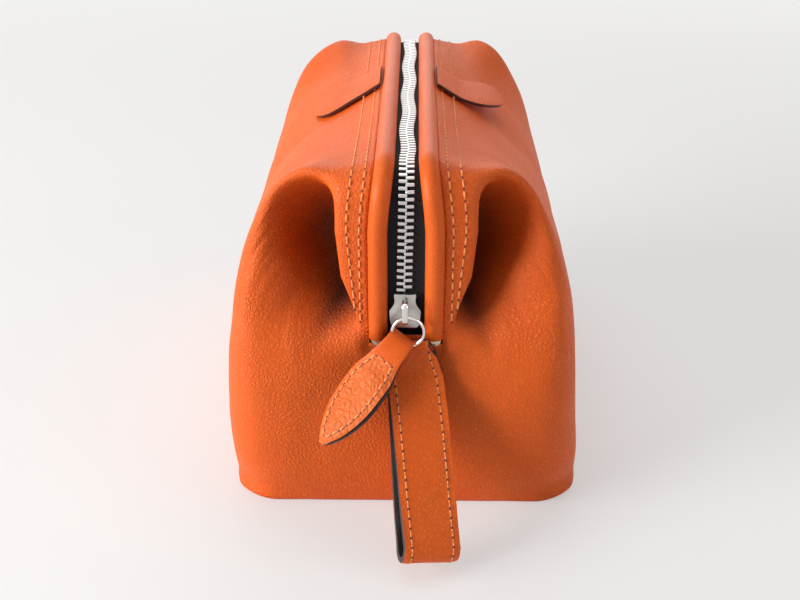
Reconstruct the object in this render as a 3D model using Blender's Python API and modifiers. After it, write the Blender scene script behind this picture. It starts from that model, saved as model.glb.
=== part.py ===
"""Framed leather wash bag: hinged wires in a leather channel, a metal zip, a soft body and a wrist strap.

Metres, +Z up. The origin is the middle of the base on the surface that the bag stands on. The zip closes
towards -Y, where the strap hangs. The left half is at -X.
"""

import math

import bmesh
import bpy
import numpy as np
from mathutils import Matrix, Vector

# Driving dimensions of the body
HALF_WIDTH = 0.075
HALF_LENGTH = 0.108
RAIL_HEIGHT = 0.149
LEATHER = 0.0018
CLEARANCE = 0.0003
SEAM_HALF_GAP = 0.00015

# Base
BASE_HALF_WIDTH = 0.0705
BASE_HALF_LENGTH = 0.099
BASE_CORNER = 0.016
CORNER_STEPS = 6
BOARD_THICKNESS = 0.0016
BOARD_MARGIN = 0.003
LINING_THICKNESS = 0.0006
LINING_ROOM = 0.001
LINING_EASE_SHARE = 0.5
HEM_LIFT = 0.0004
HEM_FLAT = 0.003

# Frame wires, each a U that stands on two hinges
HINGE_HEIGHT = 0.0795
HINGE_HALF_SPREAD = 0.011
RAIL_REACH = 0.1005
RAIL_CORNER = 0.014
WIRE_RADIUS = 0.002
TOP_HALF_SPREAD = 0.0083
NARROW_DROP = 0.027
EYE_RADIUS = 0.0028
RIVET_RADIUS = 0.0013
RUNNING_GAP = 0.00015
RIVET_HEAD_RADIUS = 0.0022
RIVET_HEAD_HEIGHT = 0.0008
LINK_THICKNESS = 0.001
LINK_WASHER_GAP = 0.0009
LINK_HALF_HEIGHT = 0.0028
LINK_TAIL = 0.0095
LINK_TAIL_HALF_WIDTH = 0.006

# Leather channel round each wire, with its stitched flange
CHANNEL_LEATHER = 0.0015
FLANGE_DROP = 0.0005
LAP_GAP = 0.0009
CREASE_OFFSET = 0.0013
CREASE_HEIGHT = 0.0004
FLANGE_WIDTH = 0.014
# Places as shares of the way from the channel's end to the middle of the top, and the flange's width and
# downward slope there
FLANGE_PLACE_SHARES = (0, 0.055, 0.14, 0.26, 0.39, 0.52, 0.75, 1)
FLANGE_WIDTH_SHARES = (0.21, 0.45, 0.86, 1, 0.96, 0.8, 0.79, 0.78)
FLANGE_SLOPE_SHARES = (0, 0.05, 0.1, 0.1, 0.12, 0.3, 0.6, 0.62)
WRAP_ANGLES = (40, 80, 120, 160, 200, 240, 280)

# Zip
TAPE_DEPTH = 0.0012
TAPE_THICKNESS = 0.0006
TOOTH_PITCH = 0.0028
TOOTH_REACH = 0.00085
CHAIN_HALF_WIDTH = 0.003
TOOTH_THICKNESS = 0.0024
STOP_LENGTH = 0.0035

# Slider, its crown and the pull ring
SLIDER_RISE = 0.0025
SLIDER_LENGTH = 0.0147
SLIDER_HALF_WIDTH = 0.00615
SLIDER_PLATE = 0.0012
SLIDER_CAVITY = 0.0032
TAPE_SLOT = 0.0012
POST_RADIUS = 0.001
CROWN_HALF_WIDTH = 0.0011
CROWN_STRIP = 0.001
CROWN_LENGTH = 0.0084
CROWN_ROOM = 0.0047
RING_RADIUS = 0.0062
RING_WIRE_RADIUS = 0.0007
RING_SHIFT = 0.0008

# Pull tab, a leaf folded over the ring
TAB_LENGTH = 0.049
TAB_HALF_WIDTH = 0.0097
TAB_LEATHER = 0.0015
TAB_NECK_HALF_WIDTH = 0.006
TAB_FOLD_HALF_WIDTH = 0.0021
TAB_FOLD_RADIUS = 0.003
TAB_FLAP = 0.012
TAB_CLOCK_ANGLE = 233
TAB_TURN = 25
TAB_DIRECTION = (-0.595, -0.415, -0.688)
TAB_FACE = (0.0, -0.885, 0.466)
# The leaf's outline: places along it and half widths there
TAB_PLACE_SHARES = (-1, 0.03, 0.12, 0.28, 0.45, 0.62, 0.78, 0.9, 0.97, 1)
TAB_WIDTH_SHARES = (1, 1, 1, 0.82, 1, 0.98, 0.78, 0.46, 0.2, 0.06)
TAB_FRONT_SHARES = (1, 0.97, 0.9, 0.78, 0.62, 0.45, 0.32, 0.25)
TAB_BACK_SHARES = (1, 0.96, 0.87, 0.7, 0.5, 0.25, 0)
TAB_BEND_ANGLES = (0, -35, -70, -110, -145, -180)
# Places and heights of the neck's front and back, in fold radii
NECK_FRONT_SHARES = ((2.2, 0.62), (1, 0.95))
NECK_BACK_SHARES = ((0.8, -0.9), (1.6, -0.6))
NECK_END_SHARE = 2.4
ACROSS_SHARES = (-1, -0.5, 0, 0.5, 1)

# Wrist strap, a loop of two plies
STRAP_WIDTH = 0.0225
STRAP_LEATHER = 0.0012
STRAP_LINING = 0.0007
STRAP_ROOT_DROP = 0.0043
STRAP_LEAN = 0.0085
STRAP_SIDE_SHIFT = 0.0008
STRAP_TURN = 18
STRAP_END_HEIGHT = 0.009
STRAP_END_REACH = 0.1455
STRAP_LOOP_HALF_GAP = 0.0036
STRAP_ROOT_HALF_GAP = 0.0002
STRAP_SEAT = 0.0014
STRAP_OPENING_SHARES = (0.2, 0.75)
# How far out and how far down the loop's middle has come, at even steps from its root to its end
STRAP_PATH_SHARES = ((0, 0), (0.01, 0.09), (0.06, 0.18), (0.25, 0.36), (0.52, 0.58), (0.78, 0.8), (1, 1))
STRAP_STEPS = 9
STRAP_END_ANGLES = (30, 60, 90, 120, 150)

# Finger tabs beside the zip
FINGER_TAB_LENGTH = 0.033
FINGER_TAB_HALF_WIDTH = 0.014
FINGER_TAB_LEATHER = 0.0018
FINGER_TAB_CENTRE = 0.017
RIGHT_TAB_LIFT = 0.006
FINGER_TAB_SHARES = (0, 0.12, 0.25, 0.38, 0.5, 0.6, 0.7, 0.8, 0.88, 0.94, 0.98, 0.995)
LIFT_START_SHARE = 0.3
TOP_ROWS = (10.6, 10.3, 10, 9.75, 9.5, 9.25, 9)

# Body surface, line by line from the end seam round the corner to the middle of the side. Each line rises
# from the hem through these nine places, in shares of half width, half length and height. The hinges stand
# at HINGE_SHARE.
HINGE_SHARE = 0.5336
WALL_LINE_SHARES = (
    (
        (0, 0.965, 0.04), (0, 0.985, 0.13), (0, 0.98, 0.27), (0, 0.952, 0.37), (0, 0.938, 0.415),
        (0, 0.934, 0.435), (0, 0.932, 0.448), (0, 0.931, 0.459), (0, 0.931, 0.47),
    ),
    (
        (0.17, 0.966, 0.04), (0.175, 0.988, 0.13), (0.18, 0.985, 0.28), (0.18, 0.957, 0.39), (0.18, 0.941, 0.43),
        (0.179, 0.936, 0.447), (0.178, 0.933, 0.458), (0.177, 0.932, 0.467), (0.175, 0.931, 0.476),
    ),
    (
        (0.42, 0.965, 0.04), (0.43, 0.99, 0.13), (0.44, 0.99, 0.27), (0.44, 0.976, 0.39), (0.425, 0.957, 0.46),
        (0.385, 0.943, 0.50), (0.34, 0.936, 0.525), (0.295, 0.933, 0.54), (0.26, 0.933, 0.55),
    ),
    (
        (0.613, 0.961, 0.04), (0.633, 0.991, 0.13), (0.647, 0.995, 0.27), (0.653, 0.981, 0.40),
        (0.64, 0.949, 0.503), (0.593, 0.898, 0.577), (0.50, 0.815, 0.624), (0.39, 0.74, 0.648),
        (0.317, 0.77, 0.658),
    ),
    (
        (0.78, 0.944, 0.04), (0.81, 0.969, 0.13), (0.82, 0.972, 0.27), (0.82, 0.963, 0.41),
        (0.813, 0.935, 0.53), (0.76, 0.894, 0.634), (0.64, 0.83, 0.711), (0.50, 0.665, 0.745),
        (0.37, 0.685, 0.757),
    ),
    (
        (0.90, 0.884, 0.04), (0.93, 0.899, 0.13), (0.93, 0.902, 0.27), (0.917, 0.896, 0.41),
        (0.883, 0.884, 0.544), (0.833, 0.865, 0.664), (0.74, 0.838, 0.765), (0.573, 0.715, 0.843),
        (0.40, 0.69, 0.862),
    ),
    (
        (0.98, 0.785, 0.04), (0.99, 0.79, 0.13), (0.977, 0.79, 0.27), (0.957, 0.787, 0.41),
        (0.923, 0.778, 0.557), (0.867, 0.77, 0.691), (0.78, 0.77, 0.812), (0.66, 0.78, 0.918),
        (0.513, 0.819, 0.973),
    ),
    (
        (0.985, 0.537, 0.04), (1.005, 0.537, 0.13), (1.0, 0.537, 0.27), (0.983, 0.537, 0.41),
        (0.943, 0.537, 0.557), (0.875, 0.537, 0.685), (0.78, 0.537, 0.79), (0.653, 0.537, 0.872),
        (0.493, 0.537, 0.931),
    ),
    (
        (0.985, 0, 0.04), (1.004, 0, 0.13), (1.004, 0, 0.27), (0.991, 0, 0.41), (0.947, 0, 0.55),
        (0.873, 0, 0.671), (0.767, 0, 0.768), (0.633, 0, 0.842), (0.48, 0, 0.899),
    ),
)
# Where each line starts along the hem and ends along the mouth, as shares of the way from the end to the side
HEM_SHARES = (0, 0.085, 0.193, 0.283, 0.36, 0.42, 0.50, 0.65, 1.0)
MOUTH_SHARES = (0, 0, 0, 0.10, 0.188, 0.281, 0.42, 0.627, 1.0)
FIRST_FLANGE_LINE = 2
YOKE_SEAM_SHARE = 0.48
YOKE_SIDE_SHARES = (0.174, 0.489)
LINE_STEPS = 3
ROW_STOPS = (0, 1, 1.5, 2, 3, 4, 5, 6, 7, 7.6, 8.2, 8.8, 9.4, 10, 10.5, 11)
LINING_ROWS = (3, 13)

MATERIALS = {
    "leather": ((0.75, 0.16, 0.03, 1), 0.5, 0),
    "black_leather": ((0.02, 0.02, 0.022, 1), 0.6, 0),
    "lining": ((0.03, 0.03, 0.032, 1), 0.85, 0),
    "board": ((0.25, 0.22, 0.18, 1), 0.9, 0),
    "steel": ((0.55, 0.5, 0.42, 1), 0.35, 1),
    "nickel": ((0.8, 0.8, 0.8, 1), 0.2, 1),
    "tape": ((0.015, 0.015, 0.017, 1), 0.9, 0),
}


def clear_scene():
    for obj in list(bpy.data.objects):
        bpy.data.objects.remove(obj)


def new_collection(name):
    collection = bpy.data.collections.new(name)
    bpy.context.scene.collection.children.link(collection)
    return collection


def material(slot):
    found = bpy.data.materials.get(slot)
    if found:
        return found
    colour, roughness, metallic = MATERIALS[slot]
    made = bpy.data.materials.new(slot)
    made.use_nodes = True
    shader = made.node_tree.nodes["Principled BSDF"]
    shader.inputs["Base Color"].default_value = colour
    shader.inputs["Roughness"].default_value = roughness
    shader.inputs["Metallic"].default_value = metallic
    return made


def add_object(name, mesh, slot, collection=None):
    obj = bpy.data.objects.new(name, mesh)
    mesh.materials.append(material(slot))
    (collection or BAG).objects.link(obj)
    return obj


def sheet(name, rows, thickness, slot, side=0.0, flip=False):
    """An open grid of points, thickened to both sides or, with side at -1, behind its faces."""
    mesh = bpy.data.meshes.new(name)
    columns = len(rows[0])
    points = [tuple(point) for row in rows for point in row]
    faces = []
    for i in range(len(rows) - 1):
        for j in range(columns - 1):
            a = i * columns + j
            quad = (a, a + 1, a + columns + 1, a + columns)
            faces.append(quad[::-1] if flip else quad)
    mesh.from_pydata(points, [], faces)
    mesh.shade_smooth()
    obj = add_object(name, mesh, slot)
    solidify = obj.modifiers.new("thickness", "SOLIDIFY")
    solidify.thickness = thickness
    solidify.offset = side
    solidify.use_even_offset = True
    return obj


def bmesh_object(name, bm, slot, collection=None):
    mesh = bpy.data.meshes.new(name)
    bmesh.ops.recalc_face_normals(bm, faces=bm.faces)
    bm.to_mesh(mesh)
    bm.free()
    return add_object(name, mesh, slot, collection)


def add_box(bm, centre, size):
    """A box of this size round this centre."""
    bmesh.ops.create_cube(bm, size=1, matrix=Matrix.Translation(centre) @ Matrix.Diagonal((*size, 1)))


def add_rod(bm, start, end, radius, sides=16):
    """A round rod between two points."""
    start, end = Vector(start), Vector(end)
    turn = (end - start).to_track_quat("Z", "Y").to_matrix().to_4x4()
    place = Matrix.Translation((start + end) / 2) @ turn
    depth = (end - start).length
    size = {"radius1": radius, "radius2": radius, "depth": depth}
    bmesh.ops.create_cone(bm, cap_ends=True, segments=sides, matrix=place, **size)


def slab(name, outline, move, slot, collection=None):
    """A flat outline of points, extruded by this move."""
    bm = bmesh.new()
    bm.faces.new([bm.verts.new(point) for point in outline])
    raised = bmesh.ops.extrude_face_region(bm, geom=bm.faces[:])
    moved = [item for item in raised["geom"] if isinstance(item, bmesh.types.BMVert)]
    bmesh.ops.translate(bm, verts=moved, vec=move)
    return bmesh_object(name, bm, slot, collection)


def turned(name, place, profile, sides, slot):
    """A piece turned about an axis along Y through this place, from (radius, y) points."""
    mesh = bpy.data.meshes.new(name)
    edges = [(i, i + 1) for i in range(len(profile) - 1)]
    mesh.from_pydata([(radius, y, 0) for radius, y in profile], edges, [])
    obj = add_object(name, mesh, slot)
    obj.location = (place[0], 0, place[1])
    turn = obj.modifiers.new("turn", "SCREW")
    turn.axis = "Y"
    turn.steps = sides
    turn.render_steps = sides
    turn.use_merge_vertices = True
    turn.merge_threshold = 0.00001
    turn.use_normal_calculate = True
    return obj


def combine(target, tool, operation):
    modifier = target.modifiers.new(tool.name, "BOOLEAN")
    modifier.object = tool
    modifier.operation = operation
    modifier.solver = "EXACT"
    tool.hide_render = True
    tool.display_type = "WIRE"


def through(values, stop):
    """The smooth curve through rows of values that stand at 0, 1, 2 and so on, read at this stop."""
    values = np.asarray(values, float)
    last = len(values) - 1
    i = min(int(stop), last - 1)
    t = stop - i
    start_weight, end_weight = 2 * t**3 - 3 * t**2 + 1, 3 * t**2 - 2 * t**3
    before = values[i - 1] if i > 0 else 2 * values[0] - values[1]
    after = values[i + 2] if i + 2 <= last else 2 * values[last] - values[last - 1]
    a, b = values[i], values[i + 1]
    start_slope, end_slope = (b - before) / 2, (after - a) / 2
    bends = (t**3 - 2 * t**2 + t) * start_slope + (t**3 - t**2) * end_slope
    return start_weight * a + end_weight * b + bends


def smooth_step(value):
    value = min(max(value, 0.0), 1.0)
    return value * value * (3 - 2 * value)


# Frame path, in runs from the near channel end: up the leg, round the corner, along the top

LEG_STATION_SHARES = (0, 0.17, 0.4, 0.68, 0.88)
ARC_STATION_SHARES = (0, 0.25, 0.5, 0.75, 1)
TOP_STATION_SHARES = (0.3, 0.65)
CHANNEL_END = HINGE_HEIGHT + EYE_RADIUS + CLEARANCE
LEG_LENGTH = RAIL_HEIGHT - RAIL_CORNER - CHANNEL_END
ARC_LENGTH = RAIL_CORNER * math.pi / 2
TOP_LENGTH = RAIL_REACH - RAIL_CORNER
HALF_PATH = LEG_LENGTH + ARC_LENGTH + TOP_LENGTH
SLEEVE_MIDDLE_RADIUS = WIRE_RADIUS + CLEARANCE + CHANNEL_LEATHER / 2
ROLL_RADIUS = WIRE_RADIUS + CLEARANCE + CHANNEL_LEATHER


def rail(distance):
    """(y, z) and the outward normal on the frame's path, this far from its near end."""
    if distance > HALF_PATH:
        y, z, normal_y, normal_z = rail(2 * HALF_PATH - distance)
        return -y, z, -normal_y, normal_z
    if distance <= LEG_LENGTH:
        return -RAIL_REACH, CHANNEL_END + distance, -1.0, 0.0
    if distance <= LEG_LENGTH + ARC_LENGTH:
        angle = (distance - LEG_LENGTH) / RAIL_CORNER
        normal_y, normal_z = -math.cos(angle), math.sin(angle)
        centre_y, centre_z = -RAIL_REACH + RAIL_CORNER, RAIL_HEIGHT - RAIL_CORNER
        return centre_y + RAIL_CORNER * normal_y, centre_z + RAIL_CORNER * normal_z, normal_y, normal_z
    return -RAIL_REACH + RAIL_CORNER + distance - LEG_LENGTH - ARC_LENGTH, RAIL_HEIGHT, 0.0, 1.0


def half_spread(distance):
    """How far each wire's middle is from the zip's middle here."""
    along = min(distance, 2 * HALF_PATH - distance)
    start = RAIL_HEIGHT - NARROW_DROP - CHANNEL_END
    end = LEG_LENGTH + ARC_LENGTH
    share = smooth_step((along - start) / (end - start))
    return HINGE_HALF_SPREAD + (TOP_HALF_SPREAD - HINGE_HALF_SPREAD) * share


def flange_width(distance):
    share = min(distance, 2 * HALF_PATH - distance) / HALF_PATH
    return FLANGE_WIDTH * float(np.interp(share, FLANGE_PLACE_SHARES, FLANGE_WIDTH_SHARES))


def on_rail(distance, across, height):
    """The point this far to the side of the zip's middle and this far outside the frame's path."""
    y, z, normal_y, normal_z = rail(distance)
    return across, y + normal_y * height, z + normal_z * height


def rail_stations():
    leg = [LEG_LENGTH * share for share in LEG_STATION_SHARES]
    arc = [LEG_LENGTH + ARC_LENGTH * share for share in ARC_STATION_SHARES]
    top = [LEG_LENGTH + ARC_LENGTH + TOP_LENGTH * share for share in TOP_STATION_SHARES]
    half = leg + arc + top
    return half + [HALF_PATH] + [2 * HALF_PATH - distance for distance in reversed(half)]


def flange_edge(distance):
    return half_spread(distance) + ROLL_RADIUS + flange_width(distance)


def flange_fall(distance, across):
    """How far the flange has sloped down here on its way out from the roll."""
    share = min(distance, 2 * HALF_PATH - distance) / HALF_PATH
    slope = float(np.interp(share, FLANGE_PLACE_SHARES, FLANGE_SLOPE_SHARES))
    return slope * max(across - half_spread(distance) - ROLL_RADIUS, 0)


# Body

def hem_point(share, out=0.0):
    """The body's lower edge on its way round the base panel, from the end's middle to the side's."""
    half_width = BASE_HALF_WIDTH + CLEARANCE + out
    half_length = BASE_HALF_LENGTH + CLEARANCE + out
    radius = BASE_CORNER + CLEARANCE + out
    end = half_width - radius
    arc = radius * math.pi / 2
    distance = share * (end + arc + half_length - radius)
    if distance < end:
        return distance, -half_length, HEM_LIFT
    if distance < end + arc:
        angle = (distance - end) / radius
        return end + radius * math.sin(angle), -half_length + radius - radius * math.cos(angle), HEM_LIFT
    return half_width, -half_length + radius + distance - end - arc, HEM_LIFT


def body_height(share):
    """The height at this share, where HINGE_SHARE is the hinges' height and 1 the rail's."""
    if share <= HINGE_SHARE:
        return HINGE_HEIGHT * share / HINGE_SHARE
    return HINGE_HEIGHT + (RAIL_HEIGHT - HINGE_HEIGHT) * (share - HINGE_SHARE) / (1 - HINGE_SHARE)


def mouth_point(line):
    """The body's upper edge: under the hinge as far as the flange, and then along the flange's edge."""
    yoke = -RAIL_REACH - CLEARANCE
    seam = (0, yoke, body_height(YOKE_SEAM_SHARE))
    side = (YOKE_SIDE_SHARES[0] * HALF_WIDTH, yoke, body_height(YOKE_SIDE_SHARES[1]))
    first = flange_neighbour(0)
    if line < FIRST_FLANGE_LINE:
        return through((seam, side, first), line)
    return flange_neighbour(through(MOUTH_SHARES, line) * HALF_PATH)


def flange_neighbour(distance):
    distance = max(distance, 0)
    edge = flange_edge(distance)
    under = CHANNEL_LEATHER / 2 + FLANGE_DROP + LAP_GAP + flange_fall(distance, edge)
    return on_rail(distance, edge, -under)


def wall_point(line, row):
    """A point of the body's outer face on the near right quarter."""
    shares = through(WALL_LINE_SHARES, line)
    inner = [(x * HALF_WIDTH, -y * HALF_LENGTH, body_height(z)) for x, y, z in shares]
    hem = through(HEM_SHARES, line)
    rows = [hem_point(hem), hem_point(hem, HEM_FLAT), *inner, mouth_point(line)]
    point = through(rows, row)
    return point[0] + SEAM_HALF_GAP, point[1], point[2]


def wall_rows(side, rows):
    """The body's half shell as rows of points from the near seam round the side to the rear seam."""
    last = len(WALL_LINE_SHARES) - 1
    lines = [i / LINE_STEPS for i in range(last * LINE_STEPS + 1)]
    grid = []
    for row in rows:
        near = [wall_point(line, row) for line in lines]
        rear = [(x, -y, z) for x, y, z in reversed(near[:-1])]
        grid.append([(side * x, y, z) for x, y, z in near + rear])
    return grid


def make_walls():
    for name, side in SIDES:
        outer = wall_rows(side, ROW_STOPS)
        sheet(f"{name}_wall", outer, LEATHER, "leather", side=-1, flip=side < 0)
        kept = outer[LINING_ROWS[0]:LINING_ROWS[1]]
        inner = sheet(f"{name}_lining", kept, LINING_THICKNESS, "lining", side=-1, flip=side < 0)
        offset = inner.modifiers.new("inside_the_leather", "DISPLACE")
        offset.mid_level = 0
        offset.strength = -(LEATHER + LINING_ROOM)
        inner.modifiers.move(1, 0)
        ease = inner.modifiers.new("eased_over_the_folds", "SMOOTH")
        ease.factor = LINING_EASE_SHARE
        ease.iterations = 2
        inner.modifiers.move(2, 1)


def base_outline(margin, height):
    """The round-cornered outline of a base layer, this far inside the base panel's own edge."""
    quarter = []
    centre_x, centre_y = BASE_HALF_WIDTH - BASE_CORNER, BASE_HALF_LENGTH - BASE_CORNER
    radius = BASE_CORNER - margin
    for i in range(CORNER_STEPS + 1):
        angle = math.pi / 2 * i / CORNER_STEPS
        quarter.append((centre_x + radius * math.cos(angle), centre_y + radius * math.sin(angle), height))
    upper = quarter + [(-x, y, z) for x, y, z in reversed(quarter)]
    return upper + [(x, -y, z) for x, y, z in reversed(upper)]


def make_base():
    layers = (
        ("base_panel", LEATHER, 0, "leather"),
        ("base_board", BOARD_THICKNESS, BOARD_MARGIN, "board"),
        ("base_lining", LINING_THICKNESS, BOARD_MARGIN, "lining"),
    )
    height = 0
    for name, thickness, margin, slot in layers:
        slab(name, base_outline(margin, height), (0, 0, thickness), slot)
        height += thickness + CLEARANCE


# Frame and hinges

def make_frame_wire(name, side):
    into_eye = CLEARANCE + (EYE_RADIUS - RIVET_RADIUS) / 2
    stops = [-into_eye] + rail_stations() + [2 * HALF_PATH + into_eye]
    points = []
    for distance in stops:
        y, z, _, _ = rail(min(max(distance, 0), 2 * HALF_PATH))
        drop = max(-distance, distance - 2 * HALF_PATH, 0)
        points.append((side * half_spread(distance), y, z - drop))
    curve = bpy.data.curves.new(name, "CURVE")
    curve.dimensions = "3D"
    curve.bevel_depth = WIRE_RADIUS
    curve.bevel_resolution = 2
    curve.use_fill_caps = True
    spline = curve.splines.new("POLY")
    spline.points.add(len(points) - 1)
    for place, point in zip(spline.points, points):
        place.co = (*point, 1)
    guide = bpy.data.objects.new(f"{name}_guide", curve)
    CUTTERS.objects.link(guide)
    bpy.context.view_layer.update()
    mesh = bpy.data.meshes.new_from_object(guide.evaluated_get(bpy.context.evaluated_depsgraph_get()))
    bpy.data.objects.remove(guide)
    bm = bmesh.new()
    bm.from_mesh(mesh)
    bmesh.ops.remove_doubles(bm, verts=bm.verts, dist=CLEARANCE / 10)
    wire = bmesh_object(name, bm, "steel")
    for end, y in ENDS:
        centre = Vector((side * HINGE_HALF_SPREAD, y * RAIL_REACH, HINGE_HEIGHT))
        half = Vector((0, WIRE_RADIUS, 0))
        disc = bmesh.new()
        add_rod(disc, centre - half, centre + half, EYE_RADIUS, 24)
        combine(wire, bmesh_object(f"{name}_{end}_eye", disc, "steel", CUTTERS), "UNION")
        hole = bmesh.new()
        add_rod(hole, centre - 2 * half, centre + 2 * half, RIVET_RADIUS + RUNNING_GAP, 16)
        combine(wire, bmesh_object(f"{name}_{end}_hole", hole, "steel", CUTTERS), "DIFFERENCE")
    return wire


def link_places(y):
    """The link plate's two faces and the eyes' outer face, from the outside inwards."""
    eye_outer = y * (RAIL_REACH + WIRE_RADIUS)
    link_outer = y * (RAIL_REACH - WIRE_RADIUS - LINK_WASHER_GAP)
    link_inner = link_outer - y * LINK_THICKNESS
    return eye_outer, link_outer, link_inner


def make_hinge(end, y):
    eye_outer, link_outer, link_inner = link_places(y)
    middle = (link_outer + link_inner) / 2
    bm = bmesh.new()
    add_box(bm, (0, middle, HINGE_HEIGHT), (2 * HINGE_HALF_SPREAD, LINK_THICKNESS, 2 * LINK_HALF_HEIGHT))
    link = bmesh_object(f"{end}_hinge_link", bm, "steel")
    tail = bmesh.new()
    tail_centre = (0, middle, HINGE_HEIGHT - LINK_TAIL / 2)
    add_box(tail, tail_centre, (2 * LINK_TAIL_HALF_WIDTH, LINK_THICKNESS, LINK_TAIL))
    combine(link, bmesh_object(f"{end}_link_tail", tail, "steel", CUTTERS), "UNION")
    for side_name, side in SIDES:
        x = side * HINGE_HALF_SPREAD
        lobe = bmesh.new()
        add_rod(lobe, (x, link_outer, HINGE_HEIGHT), (x, link_inner, HINGE_HEIGHT), LINK_HALF_HEIGHT, 24)
        combine(link, bmesh_object(f"{end}_{side_name}_lobe", lobe, "steel", CUTTERS), "UNION")
        hole = bmesh.new()
        reach = y * 2 * LINK_THICKNESS
        start = (x, link_outer + reach, HINGE_HEIGHT)
        add_rod(hole, start, (x, link_inner - reach, HINGE_HEIGHT), RIVET_RADIUS + RUNNING_GAP, 16)
        combine(link, bmesh_object(f"{end}_{side_name}_link_hole", hole, "steel", CUTTERS), "DIFFERENCE")
        outer_seat = eye_outer + y * RUNNING_GAP
        inner_seat = link_inner - y * RUNNING_GAP
        outer_top, inner_top = outer_seat + y * RIVET_HEAD_HEIGHT, inner_seat - y * RIVET_HEAD_HEIGHT
        profile = (
            (0, outer_top),
            (RIVET_RADIUS, outer_top),
            (RIVET_HEAD_RADIUS, (outer_top + outer_seat) / 2),
            (RIVET_HEAD_RADIUS, outer_seat),
            (RIVET_RADIUS, outer_seat),
            (RIVET_RADIUS, inner_seat),
            (RIVET_HEAD_RADIUS, inner_seat),
            (RIVET_HEAD_RADIUS, (inner_top + inner_seat) / 2),
            (RIVET_RADIUS, inner_top),
            (0, inner_top),
        )
        turned(f"{end}_{side_name}_hinge_rivet", (x, HINGE_HEIGHT), profile, 16, "steel")


def make_channel(name, side):
    """The leather that wraps the wire, with the flange that is stitched beside it."""
    rows = []
    for distance in rail_stations():
        middle = half_spread(distance)
        edge = flange_edge(distance)
        crease = middle + ROLL_RADIUS + CREASE_OFFSET
        between = (edge + crease) / 2
        places = [
            (edge, -FLANGE_DROP - flange_fall(distance, edge)),
            (between, -FLANGE_DROP / 2 - flange_fall(distance, between)),
            (crease, CREASE_HEIGHT - flange_fall(distance, crease)),
        ]
        for angle in WRAP_ANGLES:
            turn = math.radians(angle)
            across = middle + SLEEVE_MIDDLE_RADIUS * math.cos(turn)
            places.append((across, SLEEVE_MIDDLE_RADIUS * math.sin(turn)))
        rows.append([on_rail(distance, side * across, height) for across, height in places])
    return sheet(name, rows, CHANNEL_LEATHER, "leather", flip=side < 0)


# Zip

def make_tape(name, side):
    rows = []
    for distance in rail_stations():
        outer = half_spread(distance) - ROLL_RADIUS - CLEARANCE
        inner = CHAIN_HALF_WIDTH + CLEARANCE
        rows.append([on_rail(distance, side * across, -TAPE_DEPTH) for across in (outer, inner)])
    return sheet(name, rows, TAPE_THICKNESS, "tape", flip=side < 0)


def make_teeth(name, side):
    """A row of teeth at a steady pitch. The two rows mesh with a gap between their slanted flanks."""
    rows = []
    start = SLIDER_LOW + SLIDER_LENGTH - CHANNEL_END + CLEARANCE
    end = 2 * HALF_PATH - STOP_LENGTH - CLEARANCE
    steps = int((end - start) / TOOTH_PITCH) * 2
    flank_gap = CLEARANCE * math.hypot(TOOTH_PITCH / 2, 2 * TOOTH_REACH) / TOOTH_PITCH
    for i in range(steps + 1):
        wave = 1 if i % 2 else -1
        inner = -TOOTH_REACH * wave * side + flank_gap * 2
        places = (CHAIN_HALF_WIDTH, inner)
        distance = start + i * TOOTH_PITCH / 2
        rows.append([on_rail(distance, side * across, -TAPE_DEPTH) for across in places])
    return sheet(name, rows, TOOTH_THICKNESS, "nickel", flip=side < 0)


def make_end_stop(name, side):
    bm = bmesh.new()
    width = CHAIN_HALF_WIDTH - CLEARANCE
    middle = side * (CHAIN_HALF_WIDTH - width / 2)
    place = on_rail(2 * HALF_PATH - STOP_LENGTH / 2, middle, -TAPE_DEPTH)
    add_box(bm, place, (width, TOOTH_THICKNESS, STOP_LENGTH))
    return bmesh_object(name, bm, "nickel")


# Slider, crown and ring

SLIDER_LOW = HINGE_HEIGHT + EYE_RADIUS + SLIDER_RISE
SLIDER_OUTLINE_SHARES = ((0.69, 1.0), (0.69, 0.74), (1.0, 0.53), (0.97, 0.3), (0.84, 0.0))
CHANNEL_OUTLINE_SHARES = ((0.52, 1.2), (0.52, 0.72), (0.80, 0.45), (0.72, -0.2))
TAPE_PLANE = -RAIL_REACH + TAPE_DEPTH
PLATE_FRONT = TAPE_PLANE - SLIDER_CAVITY / 2 - SLIDER_PLATE
CROWN_INSIDE = PLATE_FRONT - 2 * RING_WIRE_RADIUS - CROWN_ROOM
RING_PLANE = CROWN_INSIDE + RING_WIRE_RADIUS + CLEARANCE
CROWN_START_SHARE = 0.3
CROWN_LOW = SLIDER_LOW + SLIDER_LENGTH * CROWN_START_SHARE
RING_TOP = CROWN_LOW + 2 * CROWN_STRIP + RING_WIRE_RADIUS


def mirrored_outline(shares):
    right = [(x * SLIDER_HALF_WIDTH, SLIDER_LOW + z * SLIDER_LENGTH) for x, z in shares]
    return right + [(-x, z) for x, z in reversed(right)]


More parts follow.
